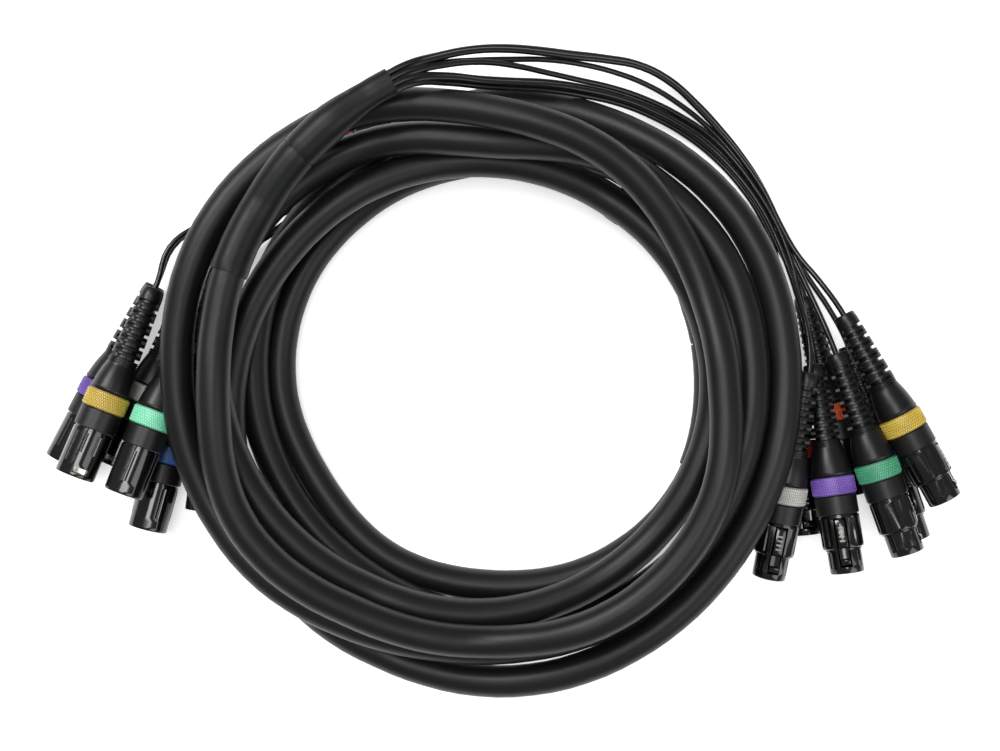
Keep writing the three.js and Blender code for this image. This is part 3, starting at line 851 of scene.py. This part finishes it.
# What all connectors share
SHELL_AROUND = 120
RING_AROUND = 72
CONTACT_AROUND = 20
NEAR_AXIS = 0.4
COLLAR_ROUND = 0.3
BORE_FLOOR = 4
PIN_CIRCLE = 3.6
PIN_BEARINGS = (-60, 60, 180)
FINE_BEVEL = 0.12

# The male shell
MALE_BORE = 8.1
WINDOW_START = 1.8
WINDOW_END = 4.8
WINDOW_HALF_WIDTH = 3.3
MALE_PANELS = (
    (6.5, 21.45, 0.35, ((48.4, 55.6), (146.4, 153.6))),
    (12, 21.45, 0.45, ((9, 21),)),
)

# The female shell and the slot for its latch
SLOT_START = 3.9
SLOT_END = 25.9
SLOT_EXTRA = 0.05
FEMALE_PANELS = (
    (13.6, 26.65, 0.55, ((24, 40), (62, 78), (102, 118), (142, 158))),
    (3, 10.45, 0.3, ((50, 66), (114, 130))),
)

# The latch and the raised bars on its pad
LATCH_BEVEL = 0.25
PAD_HEIGHT = 9.45
PAD_BARS = 4
PAD_BAR_FROM = 15.2
PAD_BAR_PITCH = 2.1
PAD_BAR_LENGTH = 0.9
PAD_BAR_HALF_WIDTH = 1.3
PAD_BAR_SUNK = 0.1
PAD_BAR_RISE = 0.3

# The ring's smooth body under its knurls: radius, and its edge as (distance in, sunk by)
RING_BODY = RING_DIAMETER / 2 - 0.35
RING_EDGE = ((0, 0.5), (0.15, 0.2), (0.5, 0))
KNURLS_FROM = 0.65
KNURLS_LENGTH = RING_LENGTH - 1.6
KNURL_WIDTH = 0.62
KNURL_GAP = 0.2

# The boot, with distances from its front end: edge as (distance, sunk by), bead as (distance, rise)
BOOT_FRONT_EDGE = ((0, 0.6), (0.15, 0.25), (0.5, 0), (1.5, 0), (1.7, 0.22))
TAPER_END = 14.2
TAPER_STEPS = 10
TAPER_BULGE = 0.35
TAPER_FOOT = 0.25
RELIEF_RADIUS = 7.1
RELIEF_END_RADIUS = 5.5
RELIEF_AHEAD = 0.1
BEADS = 3
BEAD_GAP = 0.3
BEAD_PITCH = 1.1
BEAD = ((0, 0.05), (0.2, -0.35), (0.45, -0.35), (0.65, 0.05))
SLOTS = 10
SLOT_PITCH = 3.2
SLOT_LAND = 1.65
SLOT_LIP = 0.16
SLOT_LIP_SUNK = 0.14
SLOT_WALL = 0.1
SLOT_FLOOR_SHARE = 0.68
SLOT_HALF_BRIDGE = 22


def back_of(collar_end):
    """The outline behind a shell's collar: its neck, the neck's bore and the bore's floor."""
    collar = COLLAR_DIAMETER / 2
    neck = NECK_DIAMETER / 2
    bore = NECK_BORE / 2
    end = collar_end + RING_LENGTH + NECK_IN_BOOT
    floor = collar_end - BORE_FLOOR
    return [
        (collar_end - COLLAR_ROUND, collar, COAT), (collar_end, collar - COLLAR_ROUND, COAT),
        (collar_end, neck, COAT), (end, neck, COAT), (end, bore, COAT), (floor, bore, COAT),
        (floor, NEAR_AXIS, COAT),
    ]


def add_contacts(piece, contact):
    """Adds the same contact at its three places round the axis."""
    for degrees in PIN_BEARINGS:
        x = PIN_CIRCLE * math.sin(math.radians(degrees))
        y = PIN_CIRCLE * math.cos(math.radians(degrees))
        piece.extend([(px + x, py + y, pz) for px, py, pz in contact.points], contact.faces, CONTACT)


def cut_window(piece):
    """Leaves out the faces of both skins in the latch window and walls the window's edges."""
    outside = SHELL_DIAMETER / 2
    half_angle = math.asin(WINDOW_HALF_WIDTH / outside)

    def in_window(face):
        x, y, z = np.mean([piece.points[i] for i in face], axis=0)
        return WINDOW_START < z < WINDOW_END and abs(math.atan2(x, y)) < half_angle

    cut = [in_window(face) for face in piece.faces]
    edges = []
    for face, gone in zip(piece.faces, cut):
        if gone:
            edges += zip(face, face[1:] + face[:1])
    piece.faces = [face for face, gone in zip(piece.faces, cut) if not gone]
    piece.looks = [look for look, gone in zip(piece.looks, cut) if not gone]
    rim = [edge for edge in edges if edge[::-1] not in edges]
    middle = (MALE_BORE + outside) / 2
    outer = [edge for edge in rim if math.hypot(*piece.points[edge[0]][:2]) > middle]
    inner = {i for edge in rim if edge not in outer for i in edge}

    def behind(index):
        """The point of the inner skin behind a point of the outer one."""
        x, y, z = piece.points[index]

        def apart(other):
            other_x, other_y, other_z = piece.points[other]
            turn = abs(math.atan2(other_x, other_y) - math.atan2(x, y))
            return turn * MALE_BORE + abs(other_z - z)

        return min(inner, key=apart)

    for a, b in outer:
        piece.faces.append((b, a, behind(a), behind(b)))
        piece.looks.append(GLOSS)


def male_shell_piece():
    """The male's shell with its insert, three pins and the latch window."""
    r = SHELL_DIAMETER / 2
    bore = MALE_BORE
    collar = COLLAR_DIAMETER / 2
    outline = [
        (16, NEAR_AXIS, INSERT), (16, bore, INSERT), (15.8, bore), (WINDOW_END, bore),
        (WINDOW_END, bore), (WINDOW_START, bore), (WINDOW_START, bore), (0.3, bore),
        (0, bore + 0.3), (0, r - 0.55), (0.15, r - 0.2), (0.5, r - 0.05), (1.2, r),
        (WINDOW_START, r), (WINDOW_START, r), (WINDOW_END, r), (WINDOW_END, r), (6.5, r), (6.55, r),
        (12, r), (12.05, r), (21.4, r), (21.45, r), (22.8, r), (22.9, r - 0.5),
        (23.6, r - 0.5), (23.7, collar - 0.35, COAT), (24.05, collar, COAT),
        *back_of(MALE_COLLAR_END),
    ]

    def radius_at(along, angle, radius):
        return radius if radius < r else sunk(MALE_PANELS, along, angle, radius)

    piece = Piece()
    capped(piece, outline, SHELL_AROUND, radius_at)
    cut_window(piece)
    pin = Piece()
    capped(pin, [(1.5, 0.35), (1.55, 0.6), (1.9, 1.0), (2.5, 1.2), (17, 1.2)], CONTACT_AROUND)
    add_contacts(piece, pin)
    # Earth contact that shows in the window
    bar(piece, (-2.9, 7.2, 1.4), (2.9, 7.75, 9.0), FINE_BEVEL, CONTACT)
    return piece


def female_shell_piece():
    """The female's shell with its insert, three sockets and the slot that the latch lies in."""
    nose = NOSE_DIAMETER / 2
    barrel = BARREL_DIAMETER / 2
    collar = COLLAR_DIAMETER / 2
    outline = [
        (0.25, NEAR_AXIS, INSERT), (0.25, nose - 1.3, INSERT), (0, nose - 1.1), (0, nose - 0.6),
        (0.2, nose - 0.2), (0.6, nose), (3.0, nose), (3.05, nose), (SLOT_START, nose),
        (SLOT_START, nose), (10.4, nose), (10.45, nose), (11.0, nose), (11.1, nose + 0.5),
        (11.8, nose + 0.6), (12.0, barrel - 0.5), (12.3, barrel - 0.1), (12.7, barrel),
        (13.6, barrel), (13.65, barrel), (SLOT_END, barrel), (SLOT_END, barrel), (26.6, barrel),
        (26.65, barrel), (27.3, barrel), (27.4, barrel - 0.5), (27.9, barrel - 0.5),
        (28.0, collar - 0.3, COAT), (28.3, collar, COAT), *back_of(FEMALE_COLLAR_END),
    ]
    half_slot = LATCH_WIDTH / 2 + FIT + SLOT_EXTRA

    def radius_at(along, angle, radius):
        by_the_key = math.cos(angle) > 0 and radius * abs(math.sin(angle)) < half_slot
        if by_the_key and SLOT_START <= along <= SLOT_END:
            return LATCH_SLOT_FLOOR / math.cos(angle)
        return sunk(FEMALE_PANELS, along, angle, radius)

    piece = Piece()
    capped(piece, outline, SHELL_AROUND, radius_at)
    tube = Piece()
    turned(tube, [(-0.02, 0.95), (-0.02, 1.35), (0.3, 1.4), (0.3, 1.1), (5, 0.9)], CONTACT_AROUND)
    add_contacts(piece, tube)
    return piece


def latch_piece():
    """The press latch: a bar with a hook at its nose and plain raised bars on its pad."""
    half = LATCH_WIDTH / 2
    # Distance along the axis and height over it
    outline = [
        (4.2, 6.1), (4.2, 8.1), (5.0, 8.7), (6.4, 8.7), (7.2, 7.7), (12.0, 7.8), (13.0, 9.2),
        (14.0, PAD_HEIGHT), (24.6, PAD_HEIGHT), (25.6, 9.1), (25.6, 6.9), (25.0, 5.8), (23.8, 5.8),
        (23.3, 7.7), (14.0, 7.7), (13.0, 6.1),
    ]
    shape = bmesh.new()
    near = [shape.verts.new((-half, y, z)) for z, y in outline]
    far = [shape.verts.new((half, y, z)) for z, y in outline]
    shape.faces.new(near)
    shape.faces.new(far[::-1])
    count = len(outline)
    for i in range(count):
        n = (i + 1) % count
        shape.faces.new((near[i], far[i], far[n], near[n]))
    long_edges = [e for e in shape.edges if abs(e.verts[0].co.x - e.verts[1].co.x) < 1e-6]
    piece = Piece()
    add_rounded(piece, shape, long_edges, LATCH_BEVEL)
    for i in range(PAD_BARS):
        start = PAD_BAR_FROM + i * PAD_BAR_PITCH
        low = (-PAD_BAR_HALF_WIDTH, PAD_HEIGHT - PAD_BAR_SUNK, start)
        high = (PAD_BAR_HALF_WIDTH, PAD_HEIGHT + PAD_BAR_RISE, start + PAD_BAR_LENGTH)
        bar(piece, low, high, FINE_BEVEL, 1)
    return piece


def ring_piece(collar_end, knurl):
    """The coloured ring: a smooth body with the knurling's bars on it."""
    bore = NECK_DIAMETER / 2 + FIT
    start = collar_end + FIT
    end = collar_end + RING_LENGTH
    outline = [(start, bore)]
    outline += [(start + s, RING_BODY - sunk) for s, sunk in RING_EDGE]
    outline += [(end - s, RING_BODY - sunk) for s, sunk in reversed(RING_EDGE)]
    outline += [(end, bore)]
    piece = Piece()
    turned(piece, outline, RING_AROUND)
    points, faces = knurl
    piece.extend([(x, y, z + start) for x, y, z in points], faces, 1)
    return piece


def boot_piece(collar_end):
    """The boot: a smooth taper, fine beads, then slots cut from alternate sides."""
    start = collar_end + RING_LENGTH + FIT
    front = BOOT_WIDE / 2
    neck = NECK_DIAMETER / 2 + FIT
    outline = [(0, neck)] + [(s, front - sunk) for s, sunk in BOOT_FRONT_EDGE]
    taper_start, taper_radius = outline[-1]
    for i in range(1, TAPER_STEPS + 1):
        share = i / TAPER_STEPS
        bulge = TAPER_BULGE * math.sin(math.pi * share)
        fall = (RELIEF_RADIUS + TAPER_FOOT - front) * share
        outline.append((taper_start + (TAPER_END - taper_start) * share, taper_radius + fall + bulge))
    for i in range(BEADS):
        at = TAPER_END + BEAD_GAP + i * BEAD_PITCH
        outline += [(at + s, RELIEF_RADIUS + rise) for s, rise in BEAD]
    slots = []
    for i in range(SLOTS):
        low = BOOT_FRONT + i * SLOT_PITCH
        slots.append((low, low + SLOT_PITCH - SLOT_LAND, i % 2))
    relief_from = BOOT_FRONT - RELIEF_AHEAD
    relief_to = BOOT_FRONT + BOOT_RELIEF

    def relief_radius(s):
        share = min(1, max(0, (s - relief_from) / (relief_to - relief_from)))
        return RELIEF_RADIUS + (RELIEF_END_RADIUS - RELIEF_RADIUS) * share

    for low, high, _ in slots:
        for s, sunk in (
            (low - SLOT_LIP, 0), (low, SLOT_LIP_SUNK), (low + SLOT_WALL, 0),
            (high - SLOT_WALL, 0), (high, SLOT_LIP_SUNK), (high + SLOT_LIP, 0),
        ):
            outline.append((s, relief_radius(s) - sunk))
    end = relief_to + BOOT_END
    bore = NECK_BORE / 2
    outline += [
        (relief_to, RELIEF_END_RADIUS), (relief_to + 0.3, RELIEF_END_RADIUS), (end - 0.6, 5.0),
        (end - 0.1, 4.6), (end, 4.2), (end, 1.55), (end - 3, 1.5), (17, 1.95), (15, bore),
        (NECK_IN_BOOT + FIT, bore), (NECK_IN_BOOT + FIT, neck),
    ]

    def radius_at(along, angle, radius):
        """Inside a slot only two bridges, on opposite sides, keep the full radius."""
        s = along - start
        for low, high, odd in slots:
            if low + SLOT_WALL / 2 < s < high - SLOT_WALL / 2:
                degrees = (math.degrees(angle) + (90 if odd else 0)) % 180
                if min(degrees, 180 - degrees) > SLOT_HALF_BRIDGE:
                    return radius * SLOT_FLOOR_SHARE
        return radius

    piece = Piece()
    turned(piece, [(start + s, r) for s, r in outline], RING_AROUND, radius_at)
    return piece


# Sleeves


SLEEVE_AROUND = 40
SLEEVE_STEP = 2
SLEEVE_FEWEST_STEPS = 12
SLEEVE_SWELL = 0.35
SLEEVE_ROLL = 0.25
SLEEVE_OVER_JACKET = 0.05
SLEEVE_DRAWN_WALL = SLEEVE_WALL + 0.3
SLEEVE_ROUND_FOR = 15
SLEEVE_FLAT_FOR = 10
FAN_SLEEVE_REACH = 1
CABLE_SLEEVE_REACH = 0.5


def sweep(piece, points, sections):
    """A closed tube wall: outer and inner section at each point, (half width, half height)."""
    count = len(points)
    rings = []
    for i, point in enumerate(points):
        ahead = points[min(i + 1, count - 1)]
        behind = points[max(i - 1, 0)]
        along = unit(ahead - behind)
        across = unit(np.array([-along[1], along[0], 0]))
        rings.append((point, across, np.cross(along, across)))
    outline = [(ring, outer) for ring, (outer, _) in zip(rings, sections)]
    outline += reversed([(ring, inner) for ring, (_, inner) in zip(rings, sections)])
    made = []
    faces = []
    for i, ((point, across, up), (wide, high)) in enumerate(outline):
        for k in range(SLEEVE_AROUND):
            angle = 2 * math.pi * k / SLEEVE_AROUND
            made.append(point + across * wide * math.cos(angle) + up * high * math.sin(angle))
        after = (i + 1) % len(outline)
        faces += band(i * SLEEVE_AROUND, after * SLEEVE_AROUND, SLEEVE_AROUND)
    piece.extend(made, faces)


def sleeve_mesh(name, start, end, mouth_at, material):
    """A shrunk sleeve over the cable; mouth_at gives the flattening, 0 to 1, along the run."""
    steps = max(SLEEVE_FEWEST_STEPS, round((end - start) / SLEEVE_STEP))
    runs = np.linspace(start, end, steps + 1)
    points = [layout.at(run) for run in runs]
    bore = CABLE_DIAMETER / 2 + SLEEVE_OVER_JACKET
    thick = SLEEVE_DRAWN_WALL
    sections = []
    for i, run in enumerate(runs):
        wall = SLEEVE_WALL + SLEEVE_SWELL - (SLEEVE_ROLL if i in (0, steps) else 0)
        share = mouth_at(run)
        wide, high = [bore + wall + (size / 2 - bore - wall) * share for size in MOUTH]
        sections.append(((wide, high), (wide - thick, high - thick)))
    piece = Piece()
    sweep(piece, points, sections)
    return piece.mesh(name, Matrix.Translation(COIL_CENTRE), [material], 50)


# Cords


def curve_through(name, points, diameter, material, resolution=4, around=6):
    """A round cord as a Bezier curve of one open spline through the points, in metres."""
    data = bpy.data.curves.new(name, "CURVE")
    data.dimensions = "3D"
    data.resolution_u = resolution
    data.render_resolution_u = resolution
    data.bevel_depth = diameter / 2 * MM
    data.bevel_resolution = around
    data.use_fill_caps = True
    spline = data.splines.new("BEZIER")
    spline.bezier_points.add(len(points) - 1)
    for knot, point in zip(spline.bezier_points, points):
        knot.co = metres(point)
        knot.handle_left_type = "AUTO"
        knot.handle_right_type = "AUTO"
    data.materials.append(material)
    cord = bpy.data.objects.new(name, data)
    bpy.context.scene.collection.objects.link(cord)
    return cord


# The cords' ends and the stage, which is in metres and watts

END_CLEARANCE = 4
TAIL_IN_SLEEVE = 14
TAIL_IN_CONNECTOR = 58
FLOOR_HALF_SIZE = 6.0
FLOOR_GLOW = 0.5
WORLD_STRENGTH = 0.25
CAMERA_OFF_CENTRE = (0.005, 0.0028)

# Name, place, size, power
LAMPS = (
    ("key_lamp", (-0.9, 0.9, 1.5), 0.8, 26),
    ("fill_lamp", (1.1, -0.7, 1.4), 1.2, 11),
    ("top_lamp", (-0.2, 0.1, 1.9), 0.7, 12),
)


# Settings that a user would change


class SnakeSettings(bpy.types.PropertyGroup):
    """Sizes and colours of the snake."""

    knurl_count: bpy.props.IntProperty(
        name="Knurls round a ring", description="Bars in one row of the ring's knurling",
        default=60, min=12,
    )
    knurl_rows: bpy.props.IntProperty(
        name="Rows of knurls", description="Rows of bars along the ring", default=6, min=1
    )
    knurl_height: bpy.props.FloatProperty(
        name="Knurl height", description="How far a bar stands out of the ring",
        default=0.34 * MM, unit="LENGTH", precision=5,
    )
    lens: bpy.props.FloatProperty(
        name="Lens", description="Focal length of the camera on a 36 mm frame", default=49.4
    )
    camera_height: bpy.props.FloatProperty(
        name="Camera height", description="Height of the camera over the surface",
        default=0.69, unit="LENGTH",
    )
    floor_colour: bpy.props.FloatVectorProperty(
        name="Floor", description="Colour of the surface in reflected light",
        subtype="COLOR", size=3, default=(0.9, 0.9, 0.9),
    )


class SNAKE_OT_cable(bpy.types.Operator):
    """Lays the main cable in its coil"""

    bl_idname = "snake.cable"
    bl_label = "Main cable"

    def execute(self, context):
        end = FAN_SLEEVE_LENGTH - CABLE_IN_FAN
        inner = layout.length - end
        points = [layout.at(end)]
        for i in range(0, len(layout.fine), FINE_PER_STEP):
            run = layout.runs[i]
            if end + END_CLEARANCE < run < inner - END_CLEARANCE:
                points.append(layout.fine[i])
        points.append(layout.at(inner))
        # The jacket is drawn round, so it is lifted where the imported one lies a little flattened
        lowest = CABLE_DIAMETER / 2 - JACKET_SINK
        points = [np.array([x, y, max(z, lowest)]) for x, y, z in points]
        cord = curve_through("main_cable_jacket", points, CABLE_DIAMETER, pvc_jacket(), 3, 8)
        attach(cord, BODY)
        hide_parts("main_cable")
        return {"FINISHED"}


class SNAKE_OT_sleeves(bpy.types.Operator):
    """Adds the shrunk sleeves and the crimped sleeves at both ends"""

    bl_idname = "snake.sleeves"
    bl_label = "Sleeves"

    def execute(self, context):
        material = shrunk_sleeve()
        length = layout.length

        def flatten(from_mouth):
            """The mouth's flattening, which eases out toward the cable."""
            share = (FAN_SLEEVE_LENGTH - SLEEVE_ROUND_FOR - from_mouth) / (
                FAN_SLEEVE_LENGTH - SLEEVE_ROUND_FOR - SLEEVE_FLAT_FOR
            )
            share = min(1.0, max(0.0, share))
            return share * share * (3 - 2 * share)

        fan_end = FAN_SLEEVE_LENGTH + FAN_SLEEVE_REACH
        jacket = FAN_SLEEVE_LENGTH + SLEEVE_GAP
        near = jacket - CABLE_SLEEVE_REACH
        far = jacket + JACKET_SLEEVE_LENGTH
        for name, node, start, end, mouth_at in (
            ("fan_sleeve_upper", "fan_sleeve_a", 0, fan_end, flatten),
            ("cable_sleeve_upper", "cable_sleeve_a", near, far, lambda run: 0.0),
            ("fan_sleeve_lower", "fan_sleeve_b", length - fan_end, length,
             lambda run: flatten(length - run)),
            ("cable_sleeve_lower", "cable_sleeve_b", length - far, length - near,
             lambda run: 0.0),
        ):
            put(name, sleeve_mesh(name, start, end, mouth_at, material), BODY, node)
        return {"FINISHED"}


class SNAKE_OT_connectors(bpy.types.Operator):
    """Builds the shells, inserts, rings and boots of all connectors"""

    bl_idname = "snake.connectors"
    bl_label = "Connectors"

    def execute(self, context):
        settings = context.scene.snake
        shell_looks = [glossy_shell(), satin_collar(), black_insert(), plated_contact()]
        boot_look = moulded_boot()
        bar_look = worn_bar()
        # Each ring's body takes the painted shade between the knurls; the knurl bars take the plain
        # dye
        ring_looks = {hue: [painted_shade_groove(hue), dyed_ring(hue)] for hue in RING_HUES}
        row = KNURLS_LENGTH / settings.knurl_rows
        knurl = bars_round(
            ring_looks["yellow"][1],
            **{
                "Count": settings.knurl_count,
                "Rows": settings.knurl_rows,
                "Radius": RING_BODY * MM,
                "First row": (KNURLS_FROM + row / 2) * MM,
                "Row spacing": row * MM,
                "Bar size": (2 * settings.knurl_height, KNURL_WIDTH * MM, (row - KNURL_GAP) * MM),
            },
        )
        shells = {"male": male_shell_piece(), "female": female_shell_piece()}
        latch = latch_piece()
        for kind, ends, collar_end in (
            ("male", layout.males, MALE_COLLAR_END),
            ("female", layout.females, FEMALE_COLLAR_END),
        ):
            ring = ring_piece(collar_end, knurl)
            boot = boot_piece(collar_end)
            for c in ends:
                name = f"{kind}_{c.name}"
                # The male green ring takes the lighter copy of the green, painted light on the same
                # dye
                hue = "mint" if name == "male_green" else c.name
                for part, piece, looks, sharp in (
                    ("shell", shells[kind], shell_looks, 35),
                    ("ring", ring, ring_looks[hue], 35),
                    ("boot", boot, [boot_look], 40),
                ):
                    mesh = piece.mesh(f"{name}_{part}", c.place, looks, sharp)
                    put(f"{name}_{part}", mesh, BODY, f"{kind}_{part}_{c.name}")
                if kind == "female":
                    lever = latch.mesh(f"{name}_latch", c.place, [shell_looks[0], bar_look])
                    put(f"{name}_latch", lever, f"latch_{c.name}", f"latch_{c.name}")
        return {"FINISHED"}


class SNAKE_OT_tails(bpy.types.Operator):
    """Lays the thin tails from the crimped sleeves to the connectors"""

    bl_idname = "snake.tails"
    bl_label = "Tails"

    def execute(self, context):
        material = tail_jacket()
        for node, tails, kind in (
            ("tails_a", layout.upper_tails, "female"), ("tails_b", layout.lower_tails, "male"),
        ):
            for connector, path in tails:
                first = path[0] + unit(path[0] - path[1]) * TAIL_IN_SLEEVE
                last = connector.along(connector.size - TAIL_IN_CONNECTOR)
                points = [first, *path, last]
                cord = curve_through(
                    f"{kind}_tail_{connector.name}", points, TAIL_DIAMETER, material
                )
                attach(cord, BODY)
                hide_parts(node)
        return {"FINISHED"}


class SNAKE_OT_stage(bpy.types.Operator):
    """Adds the floor, the lamps, the world and the camera"""

    bl_idname = "snake.stage"
    bl_label = "Stage"

    def execute(self, context):
        settings = context.scene.snake
        scene = context.scene
        for leftover in ("Cube", "Light", "Camera"):
            if leftover in bpy.data.objects:
                bpy.data.objects.remove(bpy.data.objects[leftover])
        scene.view_settings.view_transform = "Standard"
        material, tree, shader = surface("studio_floor", Roughness=0.7)
        shader.inputs["Base Color"].default_value = (*settings.floor_colour, 1)
        path = add(tree, "ShaderNodeLightPath")
        seen = path.outputs["Is Camera Ray"]
        for ray in ("Is Glossy Ray", "Is Transmission Ray"):
            seen = reckon(tree, "MAXIMUM", seen, path.outputs[ray])
        strength = reckon(tree, "MULTIPLY", seen, FLOOR_GLOW)
        tree.links.new(strength, shader.inputs["Emission Strength"])
        shader.inputs["Emission Color"].default_value = (1, 1, 1, 1)
        half = FLOOR_HALF_SIZE
        corners = [(-half, -half, 0), (half, -half, 0), (half, half, 0), (-half, half, 0)]
        mesh = bpy.data.meshes.new("floor")
        mesh.from_pydata(corners, [], [(0, 1, 2, 3)])
        mesh.materials.append(material)
        floor = bpy.data.objects.new("floor", mesh)
        scene.collection.objects.link(floor)
        for name, place, size, power in LAMPS:
            lamp = bpy.data.lights.new(name, "AREA")
            lamp.size = size
            lamp.energy = power
            holder = bpy.data.objects.new(name, lamp)
            holder.location = place
            holder.rotation_euler = (-Vector(place)).to_track_quat("-Z", "Y").to_euler()
            scene.collection.objects.link(holder)
        world = bpy.data.worlds.new("studio")
        world.use_nodes = True
        background = world.node_tree.nodes["Background"]
        background.inputs["Color"].default_value = (1, 1, 1, 1)
        background.inputs["Strength"].default_value = WORLD_STRENGTH
        scene.world = world
        camera = bpy.data.cameras.new("photo_camera")
        camera.lens = settings.lens
        camera.sensor_width = 36
        camera.clip_end = 20
        view = bpy.data.objects.new("photo_camera", camera)
        x, y = CAMERA_OFF_CENTRE
        view.location = (COIL_CENTRE.x * MM + x, COIL_CENTRE.y * MM + y, settings.camera_height)
        scene.collection.objects.link(view)
        scene.camera = view
        return {"FINISHED"}


OPERATORS = (
    SNAKE_OT_stage,
    SNAKE_OT_cable,
    SNAKE_OT_sleeves,
    SNAKE_OT_connectors,
    SNAKE_OT_tails,
)


class SNAKE_PT_panel(bpy.types.Panel):
    """Lists the snake's pieces in the sidebar"""

    bl_idname = "SNAKE_PT_panel"
    bl_label = "Audio snake"
    bl_space_type = "VIEW_3D"
    bl_region_type = "UI"
    bl_category = "Snake"

    def draw(self, context):
        for name in SnakeSettings.__annotations__:
            self.layout.prop(context.scene.snake, name)
        for operator in OPERATORS:
            self.layout.operator(operator.bl_idname)


CLASSES = (SnakeSettings, *OPERATORS, SNAKE_PT_panel)


def register():
    for cls in CLASSES:
        bpy.utils.register_class(cls)
    bpy.types.Scene.snake = bpy.props.PointerProperty(type=SnakeSettings)


def unregister():
    del bpy.types.Scene.snake
    for cls in reversed(CLASSES):
        bpy.utils.unregister_class(cls)


def main():
    register()
    for operator in OPERATORS:
        group, name = operator.bl_idname.split(".")
        getattr(getattr(bpy.ops, group), name)()


if __name__ == "__main__":
    main()
